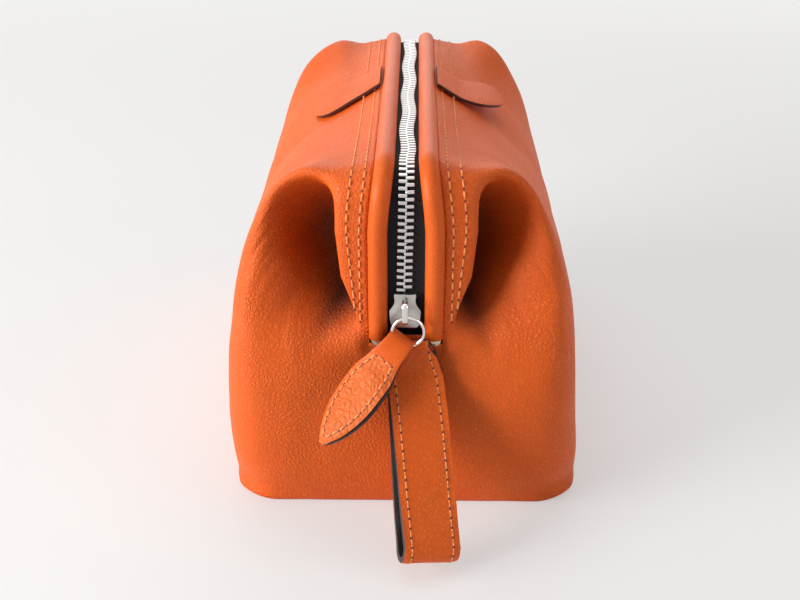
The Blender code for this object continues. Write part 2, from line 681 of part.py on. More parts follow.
def make_slider():
    """Two plates on a post, each with its edges turned towards the other and a slot for the tapes."""
    outline = mirrored_outline(SLIDER_OUTLINE_SHARES)
    channel = mirrored_outline(CHANNEL_OUTLINE_SHARES)
    body = None
    for name, facing in (("front", -1), ("back", 1)):
        inner = TAPE_PLANE + facing * TAPE_SLOT / 2
        floor = TAPE_PLANE + facing * SLIDER_CAVITY / 2
        outer = floor + facing * SLIDER_PLATE
        collection = CUTTERS if body else BAG
        plate_name = f"slider_{name}_plate" if body else "slider_body"
        edge = [(x, inner, z) for x, z in outline]
        plate = slab(plate_name, edge, (0, outer - inner, 0), "nickel", collection)
        groove = [(x, TAPE_PLANE, z) for x, z in channel]
        cutter = slab(f"slider_{name}_channel", groove, (0, floor - TAPE_PLANE, 0), "nickel", CUTTERS)
        combine(plate, cutter, "DIFFERENCE")
        if body:
            combine(body, plate, "UNION")
        else:
            body = plate
    post = bmesh.new()
    reach = (SLIDER_CAVITY + SLIDER_PLATE) / 2
    height = SLIDER_LOW + SLIDER_LENGTH / 4
    add_rod(post, (0, TAPE_PLANE - reach, height), (0, TAPE_PLANE + reach, height), POST_RADIUS, 12)
    combine(body, bmesh_object("slider_post", post, "nickel", CUTTERS), "UNION")
    return body


def make_crown():
    foot = PLATE_FRONT - CLEARANCE
    top = CROWN_INSIDE - CROWN_STRIP / 2
    low = CROWN_LOW + CROWN_STRIP / 2
    high = low + CROWN_LENGTH
    round_off = CROWN_STRIP
    path = (
        (foot, low), (top + round_off, low), (top, low + round_off), (top, (low + high) / 2),
        (top, high - 2 * round_off), (top + round_off, high - round_off / 2), (foot, high),
    )
    rows = [[(x, y, z) for x in (-CROWN_HALF_WIDTH, CROWN_HALF_WIDTH)] for y, z in path]
    return sheet("slider_crown", rows, CROWN_STRIP, "nickel", flip=True)


def ring_centre():
    return Vector((RING_SHIFT, RING_PLANE, RING_TOP - RING_RADIUS))


def make_ring():
    bpy.ops.mesh.primitive_torus_add(
        major_radius=RING_RADIUS, minor_radius=RING_WIRE_RADIUS, major_segments=28, minor_segments=8,
        location=ring_centre(), rotation=(math.pi / 2, 0, 0),
    )
    ring = bpy.context.object
    ring.name = "pull_ring"
    ring.data.name = "pull_ring"
    ring.data.materials.append(material("nickel"))
    ring.data.shade_smooth()
    for collection in list(ring.users_collection):
        collection.objects.unlink(ring)
    BAG.objects.link(ring)
    return ring


# Pull tab

def tab_pivot():
    angle = math.radians(TAB_CLOCK_ANGLE)
    return ring_centre() + RING_RADIUS * Vector((math.cos(angle), 0, math.sin(angle)))


def tab_half_width(along):
    """Half the tab's width this far from the ring, neck first and pointed at the tip."""
    width = TAB_HALF_WIDTH * float(np.interp(along / TAB_LENGTH, TAB_PLACE_SHARES, TAB_WIDTH_SHARES))
    if along > TAB_FLAP * 4 / 5:
        return width
    neck = smooth_step((along - TAB_FOLD_RADIUS / 2) / TAB_FOLD_RADIUS)
    return min(width, TAB_FOLD_HALF_WIDTH + (TAB_NECK_HALF_WIDTH - TAB_FOLD_HALF_WIDTH) * neck)


def tab_point(along, height, across):
    """A point of the tab: along it from the ring, out of its face, and across it."""
    down = Vector(TAB_DIRECTION).normalized()
    face = Vector(TAB_FACE)
    face = (face - face.dot(down) * down).normalized()
    turn = math.radians(TAB_TURN) * smooth_step(along / TAB_FLAP / 2)
    face.rotate(Matrix.Rotation(turn, 3, down))
    side = down.cross(face)
    return tab_pivot() + along * down + height * face + across * side


def tab_row(along, height):
    half = tab_half_width(along)
    return [tab_point(along, height, half * share) for share in ACROSS_SHARES]


def make_tab():
    layer = TAB_LEATHER / 2 + CLEARANCE / 2
    loop = TAB_FOLD_RADIUS
    places = [(TAB_LENGTH * share, layer) for share in TAB_FRONT_SHARES]
    places += [(loop * along, loop * height) for along, height in NECK_FRONT_SHARES]
    for angle in TAB_BEND_ANGLES:
        turn = math.radians(angle)
        places.append((loop * math.sin(turn), loop * math.cos(turn)))
    places += [(loop * along, loop * height) for along, height in NECK_BACK_SHARES]
    places += [(loop * NECK_END_SHARE, -layer), (TAB_FLAP, -layer)]
    rows = [tab_row(along, height) for along, height in places]
    sheet("pull_tab_leather", rows, TAB_LEATHER, "leather")
    first = TAB_FLAP + CLEARANCE
    rows = [tab_row(first + (TAB_LENGTH - first) * share, -layer) for share in TAB_BACK_SHARES]
    sheet("pull_tab_lining", rows, TAB_LEATHER, "black_leather")


# Wrist strap

STRAP_ROOT_HEIGHT = HINGE_HEIGHT - STRAP_ROOT_DROP
STRAP_STACK = STRAP_LEATHER + CLEARANCE + STRAP_LINING
STRAP_FACE = -RAIL_REACH - STRAP_SEAT


def strap_middle(share):
    """(y, z) of the loop's middle, from the seam under the hinge to the free end."""
    root = STRAP_FACE - STRAP_STACK - STRAP_ROOT_HALF_GAP
    run = STRAP_ROOT_HEIGHT - STRAP_END_HEIGHT
    out, down = through(STRAP_PATH_SHARES, share * (len(STRAP_PATH_SHARES) - 1))
    return root - out * (STRAP_END_REACH + root), STRAP_ROOT_HEIGHT - down * run


def strap_place(share, height, across):
    """A point of the strap: along the loop's middle, out of its front and across it."""
    y, z = strap_middle(share)
    step_share = 0.01
    y_after, z_after = strap_middle(min(share + step_share, 1))
    y_before, z_before = strap_middle(max(share - step_share, 0))
    along = Vector((0, y_after - y_before, z_after - z_before)).normalized()
    front = Vector((0, along.z, -along.y))
    turn = math.radians(STRAP_TURN) * share
    side = Vector((1, 0, 0))
    turned_side = math.cos(turn) * side - math.sin(turn) * front
    turned_front = math.cos(turn) * front + math.sin(turn) * side
    middle = Vector((STRAP_SIDE_SHIFT + STRAP_LEAN * share, y, z))
    return middle + height * turned_front + across * turned_side


def strap_half_gap(share):
    first, last = STRAP_OPENING_SHARES
    opened = smooth_step((share - first) / (last - first))
    return STRAP_ROOT_HALF_GAP + (STRAP_LOOP_HALF_GAP - STRAP_ROOT_HALF_GAP) * opened


def strap_row(share, height, move=(0, 0, 0)):
    edges = (-STRAP_WIDTH / 2, STRAP_WIDTH / 2)
    return [strap_place(share, height, across) + Vector(move) for across in edges]


def make_strap():
    """Each ply runs down the loop's front, round its end and back up behind."""
    layers = (
        ("wrist_strap_leather", STRAP_LINING + CLEARANCE + STRAP_LEATHER / 2, STRAP_LEATHER, "leather"),
        ("wrist_strap_lining", STRAP_LINING / 2, STRAP_LINING, "black_leather"),
    )
    step_share = 1 / STRAP_STEPS
    run = (strap_place(1, 0, 0) - strap_place(1 - step_share / 10, 0, 0)).normalized()
    for name, out, thickness, slot in layers:
        places = [(i * step_share, strap_half_gap(i * step_share) + out) for i in range(STRAP_STEPS + 1)]
        radius = places[-1][1]
        rows = [strap_row(share, height) for share, height in places]
        for angle in STRAP_END_ANGLES:
            turn = math.radians(angle)
            rows.append(strap_row(1, radius * math.cos(turn), run * radius * math.sin(turn)))
        rows += [strap_row(share, -height) for share, height in reversed(places)]
        sheet(name, rows, thickness, slot)


# Finger tabs

def on_top(along, y):
    """(x, z) of the point this far along the bag's top from the roll's crease, flange first and then body."""
    distance = HALF_PATH - abs(y)
    surface = CHANNEL_LEATHER / 2
    start = half_spread(distance) + ROLL_RADIUS + CREASE_OFFSET + FINGER_TAB_LEATHER / 2
    edge = flange_edge(distance)
    places = [(start, RAIL_HEIGHT + CREASE_HEIGHT - flange_fall(distance, start) + surface)]
    places.append((edge, RAIL_HEIGHT - FLANGE_DROP - flange_fall(distance, edge) + surface))
    last = len(WALL_LINE_SHARES) - 1
    for row in TOP_ROWS:
        line = last - abs(y) / abs(wall_point(last - 1, row)[1])
        x, _, z = wall_point(line, row)
        places.append((x, z))
    lengths = [0.0]
    for (x0, z0), (x1, z1) in zip(places, places[1:]):
        lengths.append(lengths[-1] + math.hypot(x1 - x0, z1 - z0))
    x = float(np.interp(along, lengths, [place[0] for place in places]))
    return x, float(np.interp(along, lengths, [place[1] for place in places]))


def make_finger_tab(name, side, lift):
    rows = []
    round_start = FINGER_TAB_LENGTH - FINGER_TAB_HALF_WIDTH
    spacing = CLEARANCE * 3 + FINGER_TAB_LEATHER / 2
    for share in FINGER_TAB_SHARES:
        along = share * FINGER_TAB_LENGTH
        bend = max((along - round_start) / FINGER_TAB_HALF_WIDTH, 0)
        half = FINGER_TAB_HALF_WIDTH * math.sqrt(max(1 - bend * bend, 0))
        rise = spacing + lift * smooth_step((share - LIFT_START_SHARE) / (1 - LIFT_START_SHARE))
        row = []
        for part in ACROSS_SHARES:
            y = FINGER_TAB_CENTRE + half * part
            x, z = on_top(along, y)
            row.append((side * x, y, z + rise))
        rows.append(row)
    return sheet(name, rows, FINGER_TAB_LEATHER, "leather", flip=side > 0)


def carry(pivot_name, place, names):
    """Hangs these pieces on an empty that stands on their joint's axis."""
    pivot = bpy.data.objects.new(pivot_name, None)
    pivot.location = place
    BAG.objects.link(pivot)
    bpy.context.view_layer.update()
    for name in names:
        piece = bpy.data.objects[name]
        piece.parent = pivot
        piece.matrix_parent_inverse = pivot.matrix_world.inverted()


def main():
    make_base()
    make_walls()
    for end, y in ENDS:
        make_hinge(end, y)
    for name, side in SIDES:
        make_frame_wire(f"{name}_frame_wire", side)
        make_channel(f"{name}_frame_channel", side)
        make_tape(f"{name}_zip_tape", side)
        make_teeth(f"{name}_zip_teeth", side)
        make_end_stop(f"{name}_zip_end_stop", side)
        make_finger_tab(f"{name}_finger_tab", side, RIGHT_TAB_LIFT if side > 0 else 0)
        parts = ("frame_wire", "frame_channel", "zip_tape", "zip_teeth", "zip_end_stop")
        pivot = (side * HINGE_HALF_SPREAD, 0, HINGE_HEIGHT)
        carry(f"{name}_frame_axis", pivot, [f"{name}_{part}" for part in parts])
        edge = flange_edge(HALF_PATH)
        tab_axis = (side * edge, FINGER_TAB_CENTRE, RAIL_HEIGHT - flange_fall(HALF_PATH, edge))
        carry(f"{name}_finger_tab_axis", tab_axis, [f"{name}_finger_tab"])
    make_slider()
    make_crown()
    make_ring()
    make_tab()
    make_strap()
    carry("slider_axis", (0, TAPE_PLANE, SLIDER_LOW), ["slider_body", "slider_crown"])
    carry("ring_axis", (0, RING_PLANE, RING_TOP), ["pull_ring"])
    carry("tab_axis", tab_pivot(), ["pull_tab_leather", "pull_tab_lining"])
    strap_root = (0, strap_middle(0)[0], STRAP_ROOT_HEIGHT)
    carry("strap_axis", strap_root, ["wrist_strap_leather", "wrist_strap_lining"])


SIDES = (("left", -1), ("right", 1))
ENDS = (("front", -1), ("rear", 1))
clear_scene()
BAG = new_collection("framed_wash_bag")
CUTTERS = new_collection("cutters")
CUTTERS.hide_render = True
main()
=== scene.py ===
"""Looks of the framed leather wash bag, standing on a pale table in soft studio light."""

import math

import bmesh
import bpy
import numpy as np
from mathutils import Matrix, Vector, noise


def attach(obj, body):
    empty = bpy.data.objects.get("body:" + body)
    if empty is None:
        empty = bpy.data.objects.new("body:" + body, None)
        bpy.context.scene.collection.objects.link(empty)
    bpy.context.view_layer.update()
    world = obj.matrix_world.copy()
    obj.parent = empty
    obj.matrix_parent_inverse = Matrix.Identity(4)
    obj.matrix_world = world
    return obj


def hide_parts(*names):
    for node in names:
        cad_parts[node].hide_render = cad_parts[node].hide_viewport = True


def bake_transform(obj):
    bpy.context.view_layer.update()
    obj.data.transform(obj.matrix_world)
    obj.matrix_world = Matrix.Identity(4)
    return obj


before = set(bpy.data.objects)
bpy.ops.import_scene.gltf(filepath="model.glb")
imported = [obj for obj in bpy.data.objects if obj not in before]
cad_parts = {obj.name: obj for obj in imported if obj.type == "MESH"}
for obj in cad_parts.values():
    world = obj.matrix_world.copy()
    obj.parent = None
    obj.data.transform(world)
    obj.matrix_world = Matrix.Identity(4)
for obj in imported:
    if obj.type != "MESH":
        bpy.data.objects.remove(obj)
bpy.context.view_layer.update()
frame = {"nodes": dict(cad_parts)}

# Camera and light
CAMERA_PLACE = (0.0033, -0.483, 0.298)
CAMERA_TILT = 62.2
CAMERA_TURN = 0.85
CAMERA_LENS = 50
CAMERA_SENSOR = 36
CAMERA_CLIP_START = 0.01
BACKDROP_WHITE = (0.90, 0.892, 0.882)
TABLE_GREY = (0.82, 0.82, 0.817)
TABLE_HALF_WIDTH = 6
TABLE_WHITE_SHARE = 0.45
FADE_RADII = (0.35, 1.2)
WORLD_TINT = (0.95, 0.96, 1.0)
WORLD_STRENGTH = 0.16
LAMPS = (
    ("overhead", (-0.15, 0.30, 1.70), (0, 0.0, 0.05), (2.0, 1.6), 13.6, (1, 0.99, 0.98)),
    ("back", (-0.25, 1.70, 0.80), (0, 0.0, 0.10), (1.6, 0.7), 8.0, (1, 0.99, 0.98)),
    ("left", (-1.15, -0.55, 0.45), (0, -0.05, 0.06), (0.8, 0.6), 22.0, (1, 0.985, 0.97)),
    ("right", (1.10, -0.50, 0.55), (0, -0.05, 0.06), (0.8, 0.6), 3.4, (1, 0.99, 0.98)),
)

# Body, as in the solid model
HALF_WIDTH = 0.075
HALF_LENGTH = 0.108
RAIL_HEIGHT = 0.149
LEATHER = 0.0018
CLEARANCE = 0.0003
BASE_HALF_WIDTH = 0.0705
BASE_HALF_LENGTH = 0.099
BASE_CORNER = 0.016
HEM_LIFT = 0.0004
HEM_FLAT = 0.003
BOTTOM_ROUNDING = 0.0006
CORNER_STEPS = 12
SHARP_ANGLE = 40

# Frame, roll and flange
HINGE_HEIGHT = 0.0795
HINGE_HALF_SPREAD = 0.011
RAIL_REACH = 0.1005
RAIL_CORNER = 0.014
WIRE_RADIUS = 0.002
TOP_HALF_SPREAD = 0.0083
NARROW_DROP = 0.027
EYE_RADIUS = 0.0028
CHANNEL_LEATHER = 0.0015
FLANGE_WIDTH = 0.014
FLANGE_PLACE_SHARES = (0, 0.055, 0.14, 0.26, 0.39, 0.52, 0.75, 1)
FLANGE_WIDTH_SHARES = (0.21, 0.45, 0.86, 1, 0.96, 0.8, 0.79, 0.78)
FLANGE_SLOPE_SHARES = (0, 0.05, 0.1, 0.1, 0.12, 0.3, 0.6, 0.62)
FLANGE_TOP = 0.0003
CREASE_TOP = 0.0005
CREASE_DEPTH = 0.0012
ROLL_END_DROP = 0.0028
ROLL_ANGLES = range(-42, 262, 16)
ROLL_SWELL = 0.025

# Zip
TAPE_DEPTH = 0.0012
TOOTH_PITCH = 0.0028
TOOTH_SIZE = (0.0034, 0.00135, 0.0024)
TOOTH_OVERLAP = 0.00035
CHAIN_HALF_WIDTH = 0.003
STOP_LENGTH = 0.0035
STOP_ROUNDING = 0.0005
TOOTH_ROUNDING = 0.00032
TOOTH_TILT = 2
TAPE_THICKNESS = 0.0006
TAPE_SAG = 0.0004
TAPE_ACROSS = (0, 0.25, 0.5, 0.7, 0.85, 1)
CHAIN_NEAR_SHIFT = -0.0009
CHAIN_WAVE = 0.0005
CHAIN_WAVE_LENGTH = 0.046
CHAIN_WAVE_EASE = 0.01

# Slider and ring
SLIDER_LOW = 0.0848
SLIDER_LENGTH = 0.0147
SLIDER_HALF_WIDTH = 0.00615
SLIDER_PLATE = 0.0012
SLIDER_CAVITY = 0.0032
SLIDER_ROUNDING = 0.00035
LIP_WIDTH = 0.0011
LIP_GAP = 0.0006
LIP_SHARE = 0.46
LIP_PLACE_SHARE = 0.27
LIP_ROUNDING = 0.0003
POST_RADIUS = 0.0011
POST_PLACE_SHARE = 0.78
CROWN_STRIP = 0.001
CROWN_LENGTH = 0.0084
CROWN_ROOM = 0.0047
CROWN_BEND = 0.0018
CROWN_HALF_WIDTH = 0.00125
BEND_STEPS = 6
RING_RADIUS = 0.0062
RING_WIRE_RADIUS = 0.0007
RING_SHIFT = 0.0008

# Pull tab
TAB_LENGTH = 0.049
TAB_HALF_WIDTH = 0.0097
TAB_LEATHER = 0.0015
TAB_NECK_HALF_WIDTH = 0.0058
TAB_FOLD_HALF_WIDTH = 0.0052
TAB_FOLD_RADIUS = 0.0033
TAB_FLAP = 0.012
TAB_CLOCK_ANGLE = 233
TAB_TURN = 36
TAB_DIRECTION = (-0.595, -0.415, -0.688)
TAB_FACE = (0.0, -0.885, 0.466)
TAB_STITCH_INSET = 0.0023
TAB_CROSS_STITCH = 0.0088
TAB_NECK_START = 3.4
TAB_NECK_STEP = 0.8
TAB_NECK_ROWS = 4
TAB_PUFF = 0.0009
TAB_STITCH_PITCH = 0.0037
TAB_TIP_MARGIN = 0.0032
SOFT_EDGE = 0.0003

# Wrist strap
STRAP_WIDTH = 0.0225
STRAP_LEATHER = 0.0012
STRAP_LINING = 0.0007
STRAP_ROOT_HEIGHT = 0.0752
STRAP_LEAN = 0.0085
STRAP_SIDE_SHIFT = 0.0008
STRAP_TURN = 18
STRAP_END_HEIGHT = 0.0115
STRAP_END_REACH = 0.1455
STRAP_LOOP_HALF_GAP = 0.0036
STRAP_ROOT_HALF_GAP = 0.0002
STRAP_SEAT = 0.0014
STRAP_OPENING_SHARES = (0.2, 0.75)
STRAP_PATH_SHARES = ((0, 0), (0.01, 0.09), (0.06, 0.18), (0.25, 0.36), (0.52, 0.58), (0.78, 0.8), (1, 1))
STRAP_STITCH_INSET = 0.0029
STRAP_TOP_SHARE = 0.105
STRAP_TOP_NARROWING = 0.3
STRAP_NARROW_START_SHARE = 0.03
STRAP_SOFT_EDGE = 0.00025
STRAP_STITCH_PITCH = 0.0037
STRAP_STITCH_START = -0.02
STRAP_CUP = 0.00027
STRAP_RIPPLE = 0.00035

# Finger tabs
FINGER_TAB_LENGTH = 0.036
FINGER_TAB_HALF_WIDTH = 0.014
FINGER_TAB_LEATHER = 0.0013
FINGER_TAB_GAP = 0.0003
FINGER_TAB_CENTRE = 0.017
FINGER_TAB_LIFTS = {"left": 0.0004, "right": 0.006}
FINGER_TAB_STEPS = 34
FINGER_TAB_RIPPLE = 0.0004
FINGER_TAB_ROOT = 0.001
FINGER_TAB_BEND = 0.009

# Stitching
THREAD_RADIUS = 0.00038
THREAD_SIDES = 7
THREAD_RINGS = 7
STITCH_PITCH = 0.0046
STITCH_GAP_SHARE = 0.24
INNER_STITCH = 0.0031
OUTER_STITCH = 0.0082
LOW_OUTER_STITCH = 0.005
INNER_ROW_MARGIN = 0.004
OUTER_ROW_MARGIN = 0.0092

# Deep folds beside the flange
# Painted shade: the colour that the hollow's deep core is darkened to, in place of the shade that falls
# there
FOLD_PAINTED_SHADE = (0.015, 0.0013, 0.0005)
WRINKLE_DEPTH = 0.00035
STREAKS_PER_LINE = 6.5
STREAKS_PER_CLIMB = 13.0
TUCK_IN = 0.0045
TUCK_BACK = 0.005
BODY_LEAN = -0.0016
REAR_RISE = 0.0032
SEAM_DIP = 0.0009
LINING_INSET = 0.0013
LINING_START = 5
SEAM_REACH = 0.0022

# Body surface, line by line from the end seam to the middle of the side, as in the solid model
HINGE_SHARE = 0.5336
WALL_LINE_SHARES = (
    (
        (0, 0.965, 0.04), (0, 0.985, 0.13), (0, 0.98, 0.27), (0, 0.952, 0.37), (0, 0.938, 0.415),
        (0, 0.934, 0.435), (0, 0.932, 0.448), (0, 0.931, 0.459), (0, 0.931, 0.47),
    ),
    (
        (0.17, 0.966, 0.04), (0.175, 0.988, 0.13), (0.18, 0.985, 0.28), (0.18, 0.957, 0.39),
        (0.18, 0.941, 0.43), (0.179, 0.936, 0.447), (0.178, 0.933, 0.458), (0.177, 0.932, 0.467),
        (0.175, 0.931, 0.476),
    ),
    (
        (0.42, 0.965, 0.04), (0.43, 0.99, 0.13), (0.44, 0.99, 0.27), (0.44, 0.976, 0.39),
        (0.425, 0.957, 0.46), (0.385, 0.943, 0.50), (0.34, 0.936, 0.525), (0.295, 0.933, 0.54),
        (0.26, 0.933, 0.55),
    ),
    (
        (0.613, 0.961, 0.04), (0.633, 0.991, 0.13), (0.647, 0.995, 0.27), (0.653, 0.981, 0.40),
        (0.64, 0.949, 0.503), (0.593, 0.898, 0.577), (0.50, 0.815, 0.624), (0.39, 0.74, 0.648),
        (0.317, 0.77, 0.658),
    ),
    (
        (0.78, 0.944, 0.04), (0.81, 0.969, 0.13), (0.82, 0.972, 0.27), (0.82, 0.963, 0.41),
        (0.813, 0.935, 0.53), (0.76, 0.894, 0.634), (0.64, 0.83, 0.711), (0.50, 0.665, 0.745),
        (0.37, 0.685, 0.757),
    ),
    (
        (0.90, 0.884, 0.04), (0.93, 0.899, 0.13), (0.93, 0.902, 0.27), (0.917, 0.896, 0.41),
        (0.883, 0.884, 0.544), (0.833, 0.865, 0.664), (0.74, 0.838, 0.765), (0.573, 0.715, 0.843),
        (0.40, 0.69, 0.862),
    ),
    (
        (0.98, 0.785, 0.04), (0.99, 0.79, 0.13), (0.977, 0.79, 0.27), (0.957, 0.787, 0.41),
        (0.923, 0.778, 0.557), (0.867, 0.77, 0.691), (0.78, 0.77, 0.812), (0.66, 0.78, 0.918),
        (0.513, 0.819, 0.973),
    ),
    (
        (0.985, 0.537, 0.04), (1.005, 0.537, 0.13), (1.0, 0.537, 0.27), (0.983, 0.537, 0.41),
        (0.943, 0.537, 0.557), (0.875, 0.537, 0.685), (0.78, 0.537, 0.79), (0.653, 0.537, 0.872),
        (0.493, 0.537, 0.931),
    ),
    (
        (0.985, 0, 0.04), (1.004, 0, 0.13), (1.004, 0, 0.27), (0.991, 0, 0.41), (0.947, 0, 0.55),
        (0.873, 0, 0.671), (0.767, 0, 0.768), (0.633, 0, 0.842), (0.48, 0, 0.899),
    ),
)
HEM_SHARES = (0, 0.085, 0.193, 0.283, 0.36, 0.42, 0.50, 0.65, 1.0)
MOUTH_SHARES = (0, 0, 0, 0.10, 0.188, 0.281, 0.42, 0.627, 1.0)
FIRST_FLANGE_LINE = 2
YOKE_STILL = 0.9
YOKE_SEAM_SHARE = 0.49
YOKE_SIDE_SHARES = (0.194, 0.520)
LINE_STEPS = (10, 10, 14, 20, 20, 18, 14, 24)
SECTION_POINTS = 96
SECTION_STOPS = 140
EASE_REACH = 5
EASE_ROUNDS = 6
FLANGE_POINTS = 9

SIDES = (("left", -1), ("right", 1))


# Materials

class Value:
    """A shader socket that takes part in sums."""

    def __init__(self, nodes, socket):
        self.nodes = nodes
        self.socket = socket

    def sum(self, operation, first, second):
        return self.nodes.node("Math", {"operation": operation}, {0: first, 1: second})

    def __add__(self, other):
        return self.sum("ADD", self, other)

    def __radd__(self, other):
        return self.sum("ADD", other, self)

    def __sub__(self, other):
        return self.sum("SUBTRACT", self, other)

    def __rsub__(self, other):
        return self.sum("SUBTRACT", other, self)

    def __mul__(self, other):
        return self.sum("MULTIPLY", self, other)

    def __rmul__(self, other):
        return self.sum("MULTIPLY", other, self)

    def __abs__(self):
        return self.sum("ABSOLUTE", self, 0.0)


class Nodes:
    """The nodes of a material or of the world."""

    def __init__(self, tree):
        self.tree = tree

    def node(self, kind, settings=None, inputs=None, output=0):
        made = self.tree.nodes.new("ShaderNode" + kind)
        for name, value in (settings or {}).items():
            setattr(made, name, value)
        for name, value in (inputs or {}).items():
            self.feed(made.inputs[name], value)
        return Value(self, made.outputs[output])

    def feed(self, socket, value):
        if isinstance(value, Value):
            self.tree.links.new(value.socket, socket)
        elif isinstance(value, tuple) and len(value) == 3 and socket.type == "RGBA":
            socket.default_value = (*value, 1)
        else:
            socket.default_value = value


class Finish(Nodes):
    """A material under construction."""

    def __init__(self, name):
        self.material = bpy.data.materials.new(name)
        self.material.use_nodes = True
        super().__init__(self.material.node_tree)
        self.shader = self.tree.nodes["Principled BSDF"]

    def set(self, **sockets):
        for name, value in sockets.items():
            self.feed(self.shader.inputs[name.replace("_", " ")], value)

    def place(self):
        return self.node("TexCoord", output=3)

    def noise(self, scale, detail=2.0, roughness=0.5, where=None):
        inputs = {"Scale": scale, "Detail": detail, "Roughness": roughness}
        inputs["Vector"] = where or self.place()
        return self.node("TexNoise", None, inputs)

    def cells(self, scale, where):
        """0 on the grooves between cells, more towards their middles."""
        return self.node("TexVoronoi", {"feature": "DISTANCE_TO_EDGE"}, {"Scale": scale, "Vector": where})

    def bands(self, direction, scale, distortion):
        settings = {"wave_type": "BANDS", "bands_direction": direction, "wave_profile": "SIN"}
        inputs = {"Scale": scale, "Distortion": distortion, "Vector": self.place()}
        return self.node("TexWave", settings, inputs)

    def blend_colours(self, share, first, second):
        inputs = {0: share, 6: first, 7: second}
        return self.node("Mix", {"data_type": "RGBA"}, inputs, output=2)

    def warped(self, amount, scale):
        """The place, shifted about by noise so that patterns don't run straight."""
        inputs = {"Scale": scale, "Detail": 2.0, "Vector": self.place()}
        shift = self.node("TexNoise", None, inputs, output=1)
        centred = self.node("VectorMath", {"operation": "SUBTRACT"}, {0: shift, 1: (0.5, 0.5, 0.5)})
        scaled = self.node("VectorMath", {"operation": "SCALE"}, {0: centred, "Scale": amount})
        return self.node("VectorMath", {"operation": "ADD"}, {0: self.place(), 1: scaled})

    def attribute(self, name):
        return self.node("Attribute", {"attribute_name": name}, output=2)

    def bump(self, height, distance, strength=1.0, under=None):
        inputs = {"Height": height, "Distance": distance, "Strength": strength}
        if under:
            inputs["Normal"] = under
        return self.node("Bump", None, inputs)


def stepped(finish, value, low, high):
    """0 below low, 1 above high, smooth between."""
    settings = {"interpolation_type": "SMOOTHSTEP"}
    return finish.node("MapRange", settings, {"Value": value, "From Min": low, "From Max": high})


def leather(name, grain=620, grain_depth=0.00022, crease_depth=0.00025, base=(0.76, 0.125, 0.011),
            pale=(0.84, 0.198, 0.033), deep=(0.50, 0.048, 0.004), rough=0.5, fine=0.3, folded=False):
    """Pebbled pull-up leather: cells with soft grooves, faint creases and cloudy changes of tone."""
    finish = Finish(name)
    where = finish.warped(0.0016, 260)
    grooves = finish.cells(grain, where)
    pebble = stepped(finish, grooves, 0.0, 0.32)
    second = stepped(finish, finish.cells(grain * 2.3, where), 0.0, 0.3)
    zones = stepped(finish, finish.noise(42, 3.0), 0.38, 0.66)
    clouds = finish.noise(26, 4.0, 0.55)
    tiny = finish.noise(2600, 2.0)
    creases = finish.noise(150, 5.0, 0.62, finish.warped(0.012, 60))
    tone = finish.blend_colours(stepped(finish, clouds, 0.30, 0.72), deep, base)
    tone = finish.blend_colours(stepped(finish, clouds, 0.48, 0.80) * 0.8, tone, pale)
    tone = finish.blend_colours(0.85, tone, base)
    tone = finish.blend_colours((1 - pebble) * 0.30, tone, deep)
    first = finish.bump(creases, crease_depth, 0.7)
    if folded:
        # On the body, painted shade: the hollow's core and its wrinkle lines are darkened by notes on the
        # points
        fold, crumple = finish.attribute("fold"), finish.attribute("crumple")
        across = finish.attribute("line") * STREAKS_PER_LINE
        up = finish.attribute("climb") * STREAKS_PER_CLIMB
        streaks = finish.node("CombineXYZ", None, {0: across, 1: up})
        lines = finish.noise(1.0, 5.0, 0.55, streaks)
        sharp = (1 - abs(lines - 0.5) * 3.2) * crumple
        # Painted shade: the wrinkle lines are darkened towards the deep tone, as well as bumped
        tone = finish.blend_colours(sharp * 0.16, tone, deep)
        # Painted shade: the hollow's core is darkened nearly to black-brown
        tone = finish.blend_colours(fold * 0.96, tone, FOLD_PAINTED_SHADE)
        first = finish.bump(sharp, WRINKLE_DEPTH, 0.8, first)
    finish.set(Base_Color=tone)
    finish.set(Roughness=rough - 0.10 * clouds + 0.10 * (1 - pebble))
    height = pebble * (0.55 + 0.45 * zones) + second * 0.25 + tiny * 0.06 * fine
    finish.set(Normal=finish.bump(height, grain_depth, 0.9, first))
    finish.shader.inputs["Specular IOR Level"].default_value = 0.24
    return finish.material


def edge_paint(name, colour=(0.018, 0.014, 0.016)):
    finish = Finish(name)
    lumps = finish.noise(900, 3.0)
    finish.set(Base_Color=finish.blend_colours(lumps * 0.4, colour, (0.05, 0.04, 0.042)))
    finish.set(Roughness=0.42 + 0.15 * lumps, Normal=finish.bump(lumps, 0.00008))
    return finish.material


def black_backing(name):
    finish = Finish(name)
    grain = stepped(finish, finish.cells(900, finish.warped(0.001, 300)), 0.0, 0.3)
    tone = finish.blend_colours(finish.noise(60, 3.0), (0.010, 0.010, 0.011), (0.024, 0.023, 0.024))
    finish.set(Base_Color=tone, Roughness=0.62 - 0.1 * grain, Normal=finish.bump(grain, 0.00006))
    return finish.material


def woven(name, dark, light, across, along, depth):
    """Cloth of crossing threads, across and along in threads a metre."""
    finish = Finish(name)
    warp = finish.bands("Y", across / 20, 0.4)
    weft = finish.bands("DIAGONAL", along / 20, 0.3)
    cloth = warp * 0.5 + weft * 0.5
    fuzz = finish.noise(1400, 3.0)
    finish.set(Base_Color=finish.blend_colours(cloth * 0.7 + fuzz * 0.3, dark, light))
    finish.set(Roughness=0.82 + 0.12 * fuzz, Normal=finish.bump(cloth, depth))
    finish.shader.inputs["Specular IOR Level"].default_value = 0.2
    return finish.material


def metal(name, colour, rough, scratch=0.06, cloud=0.05):
    finish = Finish(name)
    stretched = finish.node("Mapping", None, {"Vector": finish.place(), "Scale": (1.0, 1.0, 14.0)})
    scratches = finish.noise(900, 4.0, 0.7, stretched)
    haze = finish.noise(240, 3.0)
    worn = finish.blend_colours(haze * 0.35, colour, tuple(0.72 * part for part in colour))
    finish.set(Base_Color=worn, Metallic=1.0, Roughness=rough + scratch * scratches + cloud * haze)
    finish.set(Normal=finish.bump(scratches, 0.00001, 0.35))
    return finish.material


